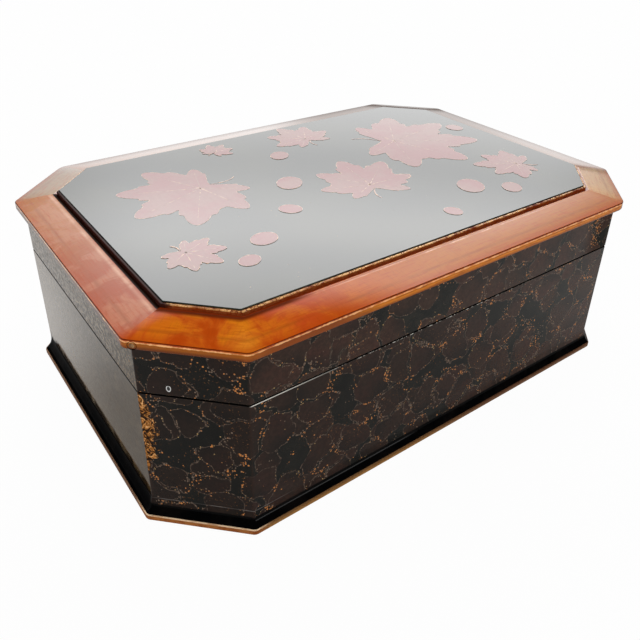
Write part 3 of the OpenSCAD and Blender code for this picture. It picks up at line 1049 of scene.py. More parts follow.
def amber_face(n, at):
    """The browner amber of the rim's upright face."""
    run = at.run
    face = n.mix(n.ease(run, 0.8, 3.6), tint("face_low"), tint("face_high"))
    face = coated(n, face,
                  (n.window(at.from_brightened_corner, 22.0, 70.0, 14.0), "face_dulled"),
                  (n.ease(at.strokes, 0.45, 0.65, 0.0, 0.6), "face_stroke"))
    corner = n.mix(n.ease(run, 1.5, 4.0), tint("corner_face_low"), tint("corner_face_high"))
    face = n.mix(n.window(at.along, *NEAR_CUT, 2.0), face, corner)
    # Painted shade on the rim's rounded underside.
    return coated(n, face, (n.ease(run, 1.3, 0.3, 0.0, 0.7), "rim_underside_painted_shade"))


def amber_lines(n, at, shut, facing):
    """The coats that follow the frame's length and edges, lowest first: share and tint of each."""
    along, run, cloud = at.along, at.run, at.cloud
    inside_line = n.window(run, RIM_FACE + 0.35, RIM_FACE + 0.85, 0.12)
    below_line = n.window(run, RIM_FACE - 1.3, RIM_FACE - 0.9, 0.25)
    groove = n.ease(run, SLOPE_END - 0.75, SLOPE_END - 0.4)
    # A painted highlight along the slope's shoulder, with a painted dark line beside it, over the front.
    rubbed = n.math("MULTIPLY", n.window(along, *HIGHLIGHT_STRETCH), n.ease(cloud, 0.40, 0.58, 0.15, 0.9))
    glow = n.math("MULTIPLY", n.window(run, SLOPE_END - 2.5, SLOPE_END - 1.9, 0.25), rubbed)
    crease = n.math("MULTIPLY", n.window(run, SLOPE_END - 1.55, SLOPE_END - 1.15, 0.2), rubbed)
    # A painted highlight: a pale band near the bead along the left side.
    band = n.math("MULTIPLY", n.window(run, SLOPE_END - 3.4, SLOPE_END - 2.2, 0.9),
                  n.window(along, *LEFT, 6.0))
    band = n.math("MULTIPLY", band, n.ease(cloud, 0.36, 0.60, 0.25, 0.6))
    mitre = n.math("MULTIPLY", n.ease(at.from_mitre, 0.5, 0.1), n.ease(cloud, 0.4, 0.6, 0.1, 0.45))
    mitre = n.math("MULTIPLY", mitre, n.ease(at.from_brightened_corner, 24.0, 60.0, 0.15, 1.0))
    return [(n.math("MULTIPLY", inside_line, 0.9), "inside_line"),
            (n.math("MULTIPLY", below_line, 0.4), "below_line"),
            (groove, "groove_red"),
            (glow, "shoulder_painted_highlight"),
            (crease, "shoulder_painted_dark_line"),
            (band, "left_painted_highlight"),
            (shut, "left_bead_painted_shade"),
            (n.ease(at.fine, 0.70, 0.78, 0.0, 0.5), "amber_pore"),
            (mitre, "mitre_brown"),
            (n.ease(facing, 0.62, 0.84, 0.0, 0.85), "grazing_painted_shade")]


def amber_finish(look):
    """Amber lacquer over red, painted brighter towards the front corner as painted light, and browner on the
    rim's face.
    """
    material, n, shader = finish_base("amber_lacquer")
    at = FramePlaces(n)
    # The amber is darkened at low viewing angles: painted shade.
    facing = n.add("LayerWeight", {"Blend": 0.5}).outputs["Facing"]
    inner = n.ease(at.run, SLOPE_END - 3.8, SLOPE_END - 1.4)
    inner = n.math("MULTIPLY", inner, n.ease(at.from_brightened_corner, 62.0, 42.0))
    inner = n.math("MULTIPLY", inner, n.ease(at.along, STARTS[7] - 14.0, STARTS[7] + 6.0))
    # Painted shade: a black line beside the bead along the left side.
    by_bead = n.ease(at.run, SLOPE_END - 1.6, SLOPE_END - 1.0)
    shut = n.math("MULTIPLY", n.window(at.along, *LEFT, 1.0), by_bead)
    on_face = n.ease(at.run, RIM_FACE - 0.1, RIM_FACE - 0.5)
    # The rim's top arris is lightened in patches: partly rubbed lacquer and partly a painted highlight.
    arris = n.math("ABSOLUTE", n.math("SUBTRACT", at.run, RIM_FACE - 0.3))
    rub = n.place("edge wear", distance=arris, width=0.44, vector=at.place, grain=0.25)["Mask"]
    colour = n.mix(on_face, amber_slope(n, at, inner, look), amber_face(n, at))
    colour = coated(n, colour,
                    *amber_lines(n, at, shut, facing),
                    (n.math("MULTIPLY", rub, 0.95), "arris_rub_and_highlight"))
    n.feed(shader.inputs["Base Color"], colour)
    lacquer(shader, roughness=0.38, coat=1.0, coat_roughness=0.06, coat_ior=1.36)
    skin = n.place("lacquer skin", vector=at.place, ripple=look.ripple, dust=1.0)
    n.feed(shader.inputs["Roughness"], n.blend(skin["Haze"], 0.3, 0.45))
    dulled = n.blend(n.math("MAXIMUM", inner, shut), 1.0, 0.05)
    n.feed(shader.inputs["Coat Weight"], n.blend(rub, n.blend(on_face, dulled, 0.75), 0.8))
    height = skin["Height"]
    for relief, rise in ((at.fine, 0.02), (at.hatch, 0.012), (at.strokes, 0.03)):
        height = n.math("ADD", height, n.math("MULTIPLY", relief, rise))
    bumped(n, shader, height)
    return material


# The groove round the peg: its radii, and how softly it ends.
PEG_GROOVE = (1.12, 2.1, 0.12)


def peg_finish(_look):
    """Rubbed lacquer on the peg's end, darkened in the groove round it."""
    material, n, shader = finish_base("rim_peg")
    place = solid_place(n)
    radius = n.apart(map_of(n, "section"))[0]
    grain = n.noise(place, scale=0.8, detail=4.0, roughness=0.65)["Fac"]
    rim = n.window(radius, *PEG_GROOVE)
    colour = n.mix(n.ease(grain, *CLOUDY), tint("peg_wood"), tint("peg_dark"))
    colour = coated(n, colour, (rim, "peg_groove"))
    n.feed(shader.inputs["Base Color"], colour)
    lacquer(shader, roughness=0.4, coat=0.6, coat_roughness=0.1, coat_ior=1.36)
    n.feed(shader.inputs["Coat Weight"], n.math("SUBTRACT", 1.0, rim))
    n.feed(shader.inputs["Roughness"], n.ease(grain, 0.35, 0.7, 0.35, 0.5))
    bumped(n, shader, n.math("MULTIPLY", grain, 0.05))
    return material


def panel_finish(look):
    """Green-black polished lacquer, dusted here and there with gold."""
    material, n, shader = finish_base("panel_lacquer")
    place = solid_place(n)
    cloud = n.noise(place, scale=0.018, detail=3.0)["Fac"]
    dust = n.place("gold sprinkle", vector=place, spacing=1.0, amount=0.004)
    # Painted shade: the panel's upright sides are painted darker than its top.
    edge = n.ease(n.apart(place)[2], PANEL_Z - 0.35, PANEL_Z - 0.8)
    colour = coated(n, rgb(look.panel),
                    (n.ease(cloud, *CLOUDY), "panel_cloud"),
                    (dust["Mask"], "panel_dust"),
                    (edge, "panel_edge"))
    n.feed(shader.inputs["Base Color"], colour)
    lacquer(shader, roughness=0.4, coat=1.0, coat_roughness=0.05)
    skin = n.place("lacquer skin", vector=place, ripple=look.ripple, dust=1.0)
    n.feed(shader.inputs["Roughness"], n.blend(skin["Haze"], 0.34, 0.5))
    bumped(n, shader, skin["Height"])
    return material


def leaf_paint(look):
    """Faded red paint under the same polish as the panel."""
    material, n, shader = finish_base("painted_leaf")
    place = solid_place(n)
    cloud = n.noise(place, scale=0.045, detail=4.0, roughness=0.6)["Fac"]
    streak = n.noise(n.vector("MULTIPLY", place, (1.0, 0.25, 1.0)), scale=0.35, detail=3.0)["Fac"]
    colour = coated(n, rgb(look.leaf_red),
                    (n.ease(cloud, *CLOUDY), "paint_faded"),
                    (n.ease(streak, 0.5, 0.75, 0.0, 0.3), "paint_streak"))
    n.feed(shader.inputs["Base Color"], colour)
    lacquer(shader, roughness=0.42, coat=1.0, coat_roughness=0.05)
    skin = n.place("lacquer skin", vector=place, ripple=look.ripple, dust=1.0)
    bumped(n, shader, skin["Height"])
    return material


def gold_line(look):
    """Thin rubbed gold drawing."""
    material, n, shader = finish_base("gold_line")
    place = solid_place(n)
    rub = n.noise(place, scale=0.35, detail=4.0, roughness=0.6)["Fac"]
    colour = n.mix(n.ease(rub, 0.36, 0.56), tint("line_gold"), tint("line_rubbed"))
    n.feed(shader.inputs["Base Color"], colour)
    lacquer(shader, roughness=0.35, coat=1.0, coat_roughness=0.05)
    n.feed(shader.inputs["Metallic"], n.ease(rub, 0.56, 0.36, 0.0, 0.3))
    skin = n.place("lacquer skin", vector=place, ripple=look.ripple, dust=1.0)
    bumped(n, shader, skin["Height"])
    return material


def gilt_finish(look):
    """Gilt over a red ground, finely cracked, and darkened along the left."""
    material, n, shader = finish_base("gilt_bead")
    place = solid_place(n)
    x, _, z = n.apart(place)
    tone = n.noise(place, scale=0.22, detail=5.0, roughness=0.65)["Fac"]
    rubbed = n.math("ADD", tone, n.ease(x, -60.0, 140.0, 0.0, 0.10))
    cracks = n.place("crackle", vector=place, spacing=1.5, width=0.05)["Mask"]
    side = n.ease(z, BEAD_Z - 0.28, BEAD_Z - 0.55)
    # Along the left the bead is darkened nearly to black.
    from_left = n.math("ADD", x, n.math("MULTIPLY", tone, 3.0))
    bare = n.ease(from_left, PANEL_OUT_X + 4.0, PANEL_OUT_X + 1.5)
    colour = coated(n, rgb(look.bead_gold),
                    (n.ease(tone, 0.4, 0.62), "bead_orange"),
                    (n.ease(rubbed, 0.60, 0.68), "bead_bare"),
                    (cracks, "bead_crack"),
                    (n.math("MULTIPLY", side, 0.92), "bead_side"),
                    (bare, "bead_left"))
    n.feed(shader.inputs["Base Color"], colour)
    lacquer(shader, roughness=0.36, coat=1.0, coat_roughness=0.1)
    covered = n.math("MAXIMUM", cracks, n.ease(rubbed, 0.58, 0.66))
    covered = n.math("MAXIMUM", n.math("MAXIMUM", bare, side), covered)
    n.feed(shader.inputs["Metallic"], n.blend(covered, 0.15, 0.0))
    n.feed(shader.inputs["Roughness"], n.ease(tone, 0.3, 0.7, 0.3, 0.45))
    n.feed(shader.inputs["Coat Weight"], n.blend(covered, 1.0, 0.2))
    bumped(n, shader, n.math("MULTIPLY", cracks, -0.05))
    return material


def inside_finish(name, ground, cloudy, look):
    """Satin lacquer sprinkled with fine gold."""
    material, n, shader = finish_base(name)
    place = solid_place(n)
    section = n.apart(map_of(n, "section"))
    cloud = n.noise(place, scale=0.03, detail=4.0)["Fac"]
    colour = coated(n, rgb(ground), (n.ease(cloud, *CLOUDY), cloudy))
    dust = n.place("gold sprinkle", vector=place, spacing=1.1, amount=0.22)
    gold = n.mix(dust["Tone"], rgb(look.gold), tint("dust_orange"))
    colour = n.mix(dust["Mask"], colour, gold)
    worn = n.place("edge wear", distance=section[0], width=0.8, vector=place, grain=0.5)["Mask"]
    colour = n.mix(n.math("MULTIPLY", worn, 0.5), colour, rgb([c * 0.5 for c in ground]))
    n.feed(shader.inputs["Base Color"], colour)
    lacquer(shader, roughness=0.4, coat=0.6, coat_roughness=0.14)
    skin = n.place("lacquer skin", vector=place, ripple=look.ripple, dust=0.7)
    n.feed(shader.inputs["Roughness"], n.blend(skin["Haze"], 0.34, 0.5))
    n.feed(shader.inputs["Metallic"], n.math("MULTIPLY", dust["Mask"], 0.6))
    bumped(n, shader, n.math("ADD", skin["Height"], n.math("MULTIPLY", dust["Mask"], 0.015)))
    return material


def inside_lacquer(look):
    return inside_finish("inside_lacquer", look.inside_red, "inside_cloud", look)


def tray_lacquer(look):
    return inside_finish("tray_lacquer", look.tray_black, "tray_cloud", look)


FINISHES = {
    "patterned_lacquer": patterned_finish,
    "plinth_lacquer": plinth_finish,
    "amber_lacquer": amber_finish,
    "rim_peg": peg_finish,
    "panel_lacquer": panel_finish,
    "painted_leaf": leaf_paint,
    "gold_line": gold_line,
    "gilt_bead": gilt_finish,
    "inside_lacquer": inside_lacquer,
    "tray_lacquer": tray_lacquer,
}


def finish_named(context, name):
    """A finish, made the first time that a piece asks for it."""
    label = name + FINISH_MARK
    if label not in bpy.data.materials:
        FINISHES[name](context.scene.tea_box_look)
    return bpy.data.materials[label]


# ---------------------------------------------------------------- settings

def colour_setting(name, description, default):
    return bpy.props.FloatVectorProperty(name=name, description=description, default=default,
                                         subtype="COLOR", size=3, min=0.0, max=1.0)


def length_setting(name, description, default_mm):
    """A length, given in millimetres and kept in metres."""
    return bpy.props.FloatProperty(name=name, description=description, default=default_mm * MM,
                                   min=0.0, unit="LENGTH", subtype="DISTANCE", precision=5)


class TeaBoxForm(bpy.types.PropertyGroup):
    """Sizes that shape the softened edges and small parts."""

    wall_corner: length_setting("Wall corner", "Radius of the upright arrises of the walls", 1.0)
    seam_edge: length_setting("Joint edge", "Radius of the wall edges at the joint", 0.55)
    seam_gap: length_setting("Joint gap", "Gap that shows between base and lid", 0.25)
    plinth_corner: length_setting("Plinth corner", "Radius of the corners of the plinth's foot", 3.4)
    rim_corner: length_setting("Rim corner", "Radius of the corners of the rim", 1.6)
    crown: length_setting("Crown", "How far the slope of the frame bulges", 0.16)
    rim_worn_corner: length_setting("Worn rim corner", "Radius of the most worn corners of the rim", 8.0)
    rim_edge: length_setting("Rim edge", "Radius of the upper edge of the rim", 0.5)
    rim_under: length_setting("Rim underside", "Radius of the lower edge of the rim", 1.2)
    panel_edge: length_setting("Panel edge", "Radius of the upper edge of the raised panel", 0.3)
    foot_edge: length_setting("Foot edge", "Radius of the edges of the gilt foot", 0.35)
    board_edge: length_setting("Board edge", "Radius of the edges of boards inside the box", 0.6)
    paint_rise: length_setting("Paint rise", "Height of the painted leaves above the panel", 0.05)


class TeaBoxLook(bpy.types.PropertyGroup):
    """Colours and scales of the finishes."""

    leaf_size: bpy.props.FloatProperty(name="Leaf size", default=21.0, min=5.0, max=60.0,
                                       description="Width of a leaf on the walls, in millimetres")
    dot_spacing: bpy.props.FloatProperty(name="Dot spacing", default=1.0, min=0.3, max=4.0,
                                         description="Distance between gold dots, in millimetres")
    ripple: bpy.props.FloatProperty(name="Ripple", description="Unevenness of the lacquer surface",
                                    default=0.10, min=0.0, max=1.0, subtype="FACTOR")
    gold: colour_setting("Gold", "Gold of dots, dust and drawn lines", (0.62, 0.40, 0.15))
    foot_gold: colour_setting("Foot gold", "Gilding of the foot edge", (0.44, 0.165, 0.045))
    bead_gold: colour_setting("Bead gold", "Gilding of the bead", (0.92, 0.50, 0.17))
    amber: colour_setting("Amber", "Amber lacquer along the front", (0.52, 0.155, 0.010))
    amber_tan: colour_setting("Tan amber", "Amber lacquer towards the far ends", (0.47, 0.145, 0.012))
    amber_pink: colour_setting("Pink amber", "Amber lacquer along the left side", (0.44, 0.105, 0.045))
    amber_deep: colour_setting("Deep amber", "Red in the amber lacquer", (0.46, 0.058, 0.003))
    amber_bright: colour_setting("Bright amber", "Amber lacquer at the front corner", (0.58, 0.105, 0.010))
    amber_gold: colour_setting("Golden amber", "Thin yellow places in the amber lacquer", (0.68, 0.19, 0.006))
    panel: colour_setting("Panel", "Ground of the raised panel", (0.012, 0.016, 0.013))
    leaf_red: colour_setting("Leaf red", "Painted leaves on the panel", (0.24, 0.040, 0.040))
    inside_red: colour_setting("Inside", "Lacquer inside the box", (0.17, 0.022, 0.016))
    tray_black: colour_setting("Tray", "Lacquer of the tray", (0.010, 0.009, 0.009))


class TeaBoxStage(bpy.types.PropertyGroup):
    """The plain studio around the box."""

    lens: bpy.props.FloatProperty(name="Lens", default=38.315, min=10.0, max=200.0,
                                  description="Focal length of the camera, in millimetres")
    card: bpy.props.FloatProperty(name="Light card", default=4.5, min=0.0, max=20.0,
                                  description="Brightness of the large card behind the box")
    overhead: bpy.props.FloatProperty(name="Overhead", default=1.5, min=0.0, max=10.0,
                                      description="Brightness of the soft light above the box")
    fill: bpy.props.FloatProperty(name="Fill", default=1.1, min=0.0, max=4.0,
                                  description="Brightness of the low soft light in front")
    floor: colour_setting("Floor", "Colour of the floor", (0.75, 0.75, 0.74))


# ---------------------------------------------------------------- pieces

# Edges that hardly show: the walls' inner edges, and the boards' corners and edges inside the box.
WALL_INNER_EDGE = 0.2
LID_INNER_EDGE = 0.3
LINING_CORNER = 0.3
BATTEN_CORNER = 0.1
FLOOR_EDGE = 0.2
# The lid's frame: the radii of its slope and shoulder, the shoulder's distance from the bead, the depth of
# the groove that the bead lies in and how far it runs under the bead.
SLOPE_RADIUS = 400.0
SHOULDER_RADIUS = 3.0
SHOULDER_OUT = 1.3
GROOVE_DEPTH = 0.3
GROOVE_UNDER = 0.2
# The rim's worn corners, counted from the left end of the front, with their shares of the worn radius.
WORN_CORNERS = {1: 1.0, 2: 0.35, 5: 1.0, 6: 0.5}
# The least corner radius of the slope.
SLOPE_CORNER = 4.0
# The raised panel's upright corners and its lower edge.
PANEL_CORNER = 1.3
PANEL_FOOT_EDGE = 0.2
# The bead's corners and the radii of its round outer edge and of its inner edge.
BEAD_CORNER = 1.5
BEAD_ROUND = 0.42
BEAD_INNER_EDGE = 0.1
# How far the bead's foot and its outer edge stand in from its node's outline, how far the outer edge lies
# below the inner one, how far its foot is sunk, and its gap to the panel.
BEAD_FOOT_IN = 0.2
BEAD_EDGE_IN = 0.3
BEAD_EDGE_DROP = 0.12
BEAD_SUNK = 0.6
BEAD_GAP = 0.02
# The tray's corners and edges.
TRAY_CORNER = 1.0
TRAY_LIP = 1.2
TRAY_INNER_EDGE = 0.2
TRAY_FLOOR_CORNER = 0.5
TRAY_FLOOR_EDGE = 0.1


class TEABOX_OT_plinth(bpy.types.Operator):
    """Makes the coved plinth with its flat gilt edge"""

    bl_idname = "tea_box.plinth"
    bl_label = "Plinth"

    def execute(self, context):
        form = context.scene.tea_box_form
        out = outer_of("plinth")
        sill = inner_of("plinth")
        ledge = foot_of("base_wall_front")
        edge = form.foot_edge / MM
        cove_high = PLINTH_Z - FOOT_EDGE
        cove_wide = out - COVE_STEP - COVE_LIP
        radius = (cove_high ** 2 + cove_wide ** 2) / (2 * cove_wide)
        slope = math.asin(cove_high / radius)
        turn_z = PLINTH_Z - radius * math.tan(slope / 2)
        section = [(out, 0.0, edge), (out, FOOT_EDGE, edge), (out - COVE_STEP, FOOT_EDGE, 0.0),
                   (COVE_LIP, turn_z, radius), (0.0, PLINTH_Z, 0.0), (0.0, ledge, 0.0),
                   (sill, ledge, 0.0), (sill, 0.0, 0.0)]
        coat = finish_named(context, "plinth_lacquer")
        ring_board("plinth", section, form.plinth_corner / MM, "base", "plinth_lacquer", coat,
                   least=form.wall_corner / MM)
        return {"FINISHED"}


class TEABOX_OT_base_walls(bpy.types.Operator):
    """Makes the eight outer boards of the base"""

    bl_idname = "tea_box.base_walls"
    bl_label = "Base walls"

    def execute(self, context):
        form = context.scene.tea_box_form
        low = foot_of("base_wall_front")
        inner = inner_of("base_wall")
        section = [(0.0, low, 0.0), (0.0, SEAM_Z, form.seam_edge / MM),
                   (inner, SEAM_Z, WALL_INNER_EDGE), (inner, low, 0.0)]
        coat = finish_named(context, "patterned_lacquer")
        ring_board("base_wall", section, form.wall_corner / MM, "base", "patterned_lacquer", coat)
        return {"FINISHED"}


class TEABOX_OT_inside(bpy.types.Operator):
    """Makes the floor, the lining that stands up as a lip, and the battens for the tray"""

    bl_idname = "tea_box.inside"
    bl_label = "Floor, lining and battens"

    def execute(self, context):
        form = context.scene.tea_box_form
        coat = finish_named(context, "inside_lacquer")
        edge = form.board_edge / MM
        low, high = foot_of("lining_front"), head_of("lining_front")
        out, inner = outer_of("lining"), inner_of("lining")
        section = [(out, low, 0.0), (out, high, edge), (inner, high, edge), (inner, low, 0.0)]
        ring_board("lining", section, LINING_CORNER, "base", "inside_lacquer", coat)
        low, high = foot_of("tray_batten_front"), head_of("tray_batten_front")
        out, inner = outer_of("tray_batten"), inner_of("tray_batten")
        section = [(out, low, 0.0), (out, high, 0.0), (inner, high, edge), (inner, low, edge)]
        ring_board("tray_batten", section, BATTEN_CORNER, "base", "inside_lacquer", coat, LONG_SIDES)
        board = Form()
        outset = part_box("base_floor")[1].x / MM - HALF_LENGTH
        low, high = foot_of("base_floor"), head_of("base_floor")
        slab(board, outset, low, high, FLOOR_EDGE, FLOOR_EDGE, [FLOOR_EDGE] * 8)
        dress(board.build("base_floor_board"), "base", "inside_lacquer", coat, "base_floor")
        return {"FINISHED"}


class TEABOX_OT_lid_walls(bpy.types.Operator):
    """Makes the eight wall boards of the lid"""

    bl_idname = "tea_box.lid_walls"
    bl_label = "Lid walls"

    def execute(self, context):
        form = context.scene.tea_box_form
        low = SEAM_Z + form.seam_gap / MM
        inner = inner_of("lid_wall")
        section = [(0.0, low, form.seam_edge / MM), (0.0, RIM_Z, 0.0),
                   (inner, RIM_Z, 0.0), (inner, low, LID_INNER_EDGE)]
        coat = finish_named(context, "patterned_lacquer")
        ring_board("lid_wall", section, form.wall_corner / MM, "lid", "patterned_lacquer", coat)
        return {"FINISHED"}


class TEABOX_OT_lid_frame(bpy.types.Operator):
    """Makes the sloped frame of the lid with its overhanging rim"""

    bl_idname = "tea_box.lid_frame"
    bl_label = "Lid frame"

    def execute(self, context):
        form = context.scene.tea_box_form
        out = outer_of("lid_frame")
        inner = inner_of("lid_frame")
        top = head_of("lid_frame_front")
        ledge = foot_of("lid_panel")
        rim_top = RIM_Z + RIM_FACE
        groove = top - GROOVE_DEPTH
        shoulder = BEAD_OUT + SHOULDER_OUT
        section = [(out, RIM_Z, form.rim_under / MM), (out, rim_top, form.rim_edge / MM),
                   ((out + shoulder) / 2, (rim_top + top) / 2 + form.crown / MM, SLOPE_RADIUS),
                   (shoulder, top, SHOULDER_RADIUS), (BEAD_OUT - GROOVE_UNDER, groove, 0.0),
                   (PANEL_OUT, groove, 0.0), (PANEL_OUT, ledge, 0.0),
                   (inner, ledge, LID_INNER_EDGE), (inner, RIM_Z, LID_INNER_EDGE)]
        coat = finish_named(context, "amber_lacquer")
        usual = form.rim_corner / MM
        worn = form.rim_worn_corner / MM
        radii = [worn * WORN_CORNERS[k] if k in WORN_CORNERS else usual for k in range(8)]
        ring_board("lid_frame", section, radii, "lid", "amber_lacquer", coat, steps=5, least=SLOPE_CORNER)
        return {"FINISHED"}


class TEABOX_OT_panel(bpy.types.Operator):
    """Makes the raised panel of the lid and the gilt bead at its foot"""

    bl_idname = "tea_box.panel"
    bl_label = "Raised panel and bead"

    def execute(self, context):
        form = context.scene.tea_box_form
        board = Form()
        edge = form.panel_edge / MM
        slab(board, PANEL_OUT, foot_of("lid_panel"), PANEL_Z, PANEL_FOOT_EDGE, edge, [PANEL_CORNER] * 8,
             steps=4)
        coat = finish_named(context, "panel_lacquer")
        dress(board.build("lid_panel_board"), "lid", "panel_lacquer", coat, "lid_panel")
        low = foot_of("panel_bead") - BEAD_SUNK
        inner = PANEL_OUT + BEAD_GAP
        rows = rounded([(BEAD_OUT - BEAD_FOOT_IN, low, 0.0),
                        (BEAD_OUT - BEAD_EDGE_IN, BEAD_Z - BEAD_EDGE_DROP, BEAD_ROUND),
                        (inner, BEAD_Z, BEAD_INNER_EDGE), (inner, low, 0.0)])
        ring = Form()
        for side in range(8):
            sweep(ring, side, rows, [BEAD_CORNER] * 8, steps=4, capped=False)
        coat = finish_named(context, "gilt_bead")
        dress(ring.build("panel_bead_ring"), "lid", "gilt_bead", coat, "panel_bead")
        return {"FINISHED"}


def smoothed(points, rounds):
    """Corner cutting on a closed outline."""
    for _ in range(rounds):
        cut = []
        for a, b in zip(points, points[1:] + points[:1]):
            a = Vector(a)
            b = Vector(b)
            cut.append(tuple(a * 0.75 + b * 0.25))
            cut.append(tuple(a * 0.25 + b * 0.75))
        points = cut
    return points


# A maple leaf's lobes: the way that each points, in degrees from the tip, and its reach.
LOBES = [(-128, 0.62), (-84, 0.86), (-41, 0.98), (0, 1.06), (41, 0.98), (84, 0.86), (128, 0.62)]
LOBE_STEP = 43.0
# The reach of the notches between the lobes, and the place of the two points beside the stem.
NOTCH = 0.58
NECK_WAY = 168
NECK = 0.16
# One lobe, from notch to notch: the share of the way to its neighbour, and of its reach.
LOBE_EDGE = [(-0.38, 0.75), (-0.27, 0.73), (-0.17, 0.88), (0.0, 1.0),
             (0.17, 0.88), (0.27, 0.73), (0.38, 0.75)]


def maple_outline(rng):
    """A broad seven-lobed maple leaf of unit radius, with its tip along +X."""
    points = [tuple(heading(-NECK_WAY) * NECK)]
    for k, (angle, reach) in enumerate(LOBES):
        reach = reach * rng.uniform(0.94, 1.05)
        for share, part in LOBE_EDGE:
            points.append(tuple(heading(angle + LOBE_STEP * share) * reach * part))
        if k < len(LOBES) - 1:
            between = (angle + LOBES[k + 1][0]) / 2
            points.append(tuple(heading(between) * NOTCH * rng.uniform(0.9, 1.1)))
    points.append(tuple(heading(NECK_WAY) * NECK))
    return points


# Where each leaf lies on the panel, its radius and the way it points; and the dew drops with their radii.
LEAVES = [(-70, 26, 46, 200), (10, -20, 36, 80), (68, 26, 54, -30), (22, 60, 26, 100),
          (104, -44, 25, 150), (-108, -34, 19, -60), (-38, 70, 13, 40)]
DEW = [(-26, 6, 8.5), (-44, -22, 6.0), (56, -52, 9.0), (74, -66, 6.5), (-72, -42, 7.0), (-88, -56, 5.4),
       (121, 24, 6.0), (-8, 44, 6.5), (24, -70, 5.0)]


# The paint: how deep it starts below the panel's top, and what each later leaf and each line rises.
PAINT_FOOT = 0.2
LEAF_RISE = 0.02
LINE_RISE = 0.01
PAINTING_SEED = 11
# Widths of the gold lines: round a leaf, along a vein and what it loses at each step, the stem, round a drop.
OUTLINE = 0.36
VEIN = 0.5
VEIN_TAPER = 0.045
STEM = 0.7
DEW_LINE = 0.34
# How far a vein runs up its lobe, the steps of a vein or a stem, the stem's start, length, sway and bend.
VEIN_REACH = 0.80
VEIN_STEPS = 8
STEM_START = 0.14
STEM_LENGTH = 0.36
STEM_SWAY = 0.10
STEM_BEND = 2.2
# A drop's points, and its width beside its length.
DEW_POINTS = 40
DEW_OVAL = 0.82


def maple_leaf(rng, paint, lines, leaf, low, high):
    """One painted leaf with its drawn edge, veins and stem."""
    x, y, size, turn = leaf
    way = heading(turn)
    line_high = high + LINE_RISE
    steps = range(VEIN_STEPS + 1)

    def put(p):
        return (x + size * (p[0] * way.x - p[1] * way.y), y + size * (p[0] * way.y + p[1] * way.x))

    outline = smoothed([put(p) for p in maple_outline(rng)], 2)
    tablet(paint, outline, low, high)
    ribbon(lines, outline, [OUTLINE] * len(outline), low, line_high, closed=True)
    for angle, reach in LOBES:
        tip = heading(angle) * reach * VEIN_REACH
        vein = [put(tip * k / VEIN_STEPS) for k in steps]
        ribbon(lines, vein, [VEIN - VEIN_TAPER * k for k in steps], low, line_high)
    stem = []
    for k in steps:
        share = k / VEIN_STEPS
        stem.append(put((-STEM_START - STEM_LENGTH * share, STEM_SWAY * math.sin(share * STEM_BEND))))
    ribbon(lines, stem, [STEM] * len(steps), low, line_high)


def dew_drop(rng, paint, lines, drop, low, high):
    """One painted drop with its drawn edge."""
    x, y, size = drop
    turn = rng.uniform(0, 180)
    ring = []
    for k in range(DEW_POINTS):
        p = heading(k * 360 / DEW_POINTS)
        oval = heading(turn) * p.x * size + heading(turn + 90) * p.y * size * DEW_OVAL
        ring.append((x + oval.x, y + oval.y))
    tablet(paint, ring, low, high)
    ribbon(lines, ring, [DEW_LINE] * DEW_POINTS, low, high + LINE_RISE, closed=True)


class TEABOX_OT_painting(bpy.types.Operator):
    """Paints drifting maple leaves on the raised panel, in faded red edged with gold"""

    bl_idname = "tea_box.painting"
    bl_label = "Painted leaves"

    def execute(self, context):
        form = context.scene.tea_box_form
        rng = random.Random(PAINTING_SEED)
        low = PANEL_Z - PAINT_FOOT
        leaf = Form()
        line = Form()
        for rank, place in enumerate(LEAVES):
            high = PANEL_Z + form.paint_rise / MM + LEAF_RISE * rank
            maple_leaf(rng, leaf, line, place, low, high)
        for place in DEW:
            dew_drop(rng, leaf, line, place, low, high)
        paint = finish_named(context, "painted_leaf")
        gold = finish_named(context, "gold_line")
        dress(leaf.build("panel_leaves"), "lid", "panel_lacquer", paint)
        dress(line.build("panel_leaf_lines"), "lid", "panel_lacquer", gold)
        return {"FINISHED"}


# The peg: its distance from the mitre, its height as a share of the rim's face, and the points round it.
PEG_ALONG = 4.0
PEG_UP = 0.47
PEG_POINTS = 28
# Its section from the middle outward: radius, and how proud of the rim it stands.
PEG_PROFILE = [(0.0, 0.14), (0.7, 0.11), (1.15, 0.02), (1.25, -0.12),
               (1.65, -0.12), (1.75, 0.08), (1.95, 0.05), (2.0, -0.3)]


class TEABOX_OT_peg(bpy.types.Operator):
    """Sets the small round peg in the rim's face, near the mitre"""

    bl_idname = "tea_box.peg"
    bl_label = "Rim peg"

    def execute(self, context):
        out = outer_of("lid_frame")
        start = Vector(octagon(out)[7])
        along = heading(side_angle(7) + 90)
        face = heading(side_angle(7))
        centre = start + along * PEG_ALONG
        height = RIM_Z + RIM_FACE * PEG_UP
        angles = [2 * math.pi * k / PEG_POINTS for k in range(PEG_POINTS + 1)]

        def at(ring, angle):
            radius, proud = PEG_PROFILE[ring]
            flat = centre + along * radius * math.cos(angle) + face * proud
            return (flat.x, flat.y, height + radius * math.sin(angle))

        form = Form()
        last = len(PEG_PROFILE) - 1
        for a, b in zip(angles, angles[1:]):
            for ring in range(last):
                near = (PEG_PROFILE[ring][0], 0.0)
                far = (PEG_PROFILE[ring + 1][0], 0.0)
                form.face([at(ring, a), at(ring + 1, a), at(ring + 1, b), at(ring, b)],
                          section=[near, far, far, near])
        form.face([at(last, angle) for angle in angles[:-1]][::-1])
        dress(form.build("rim_peg"), "lid", "amber_lacquer", finish_named(context, "rim_peg"))
        return {"FINISHED"}


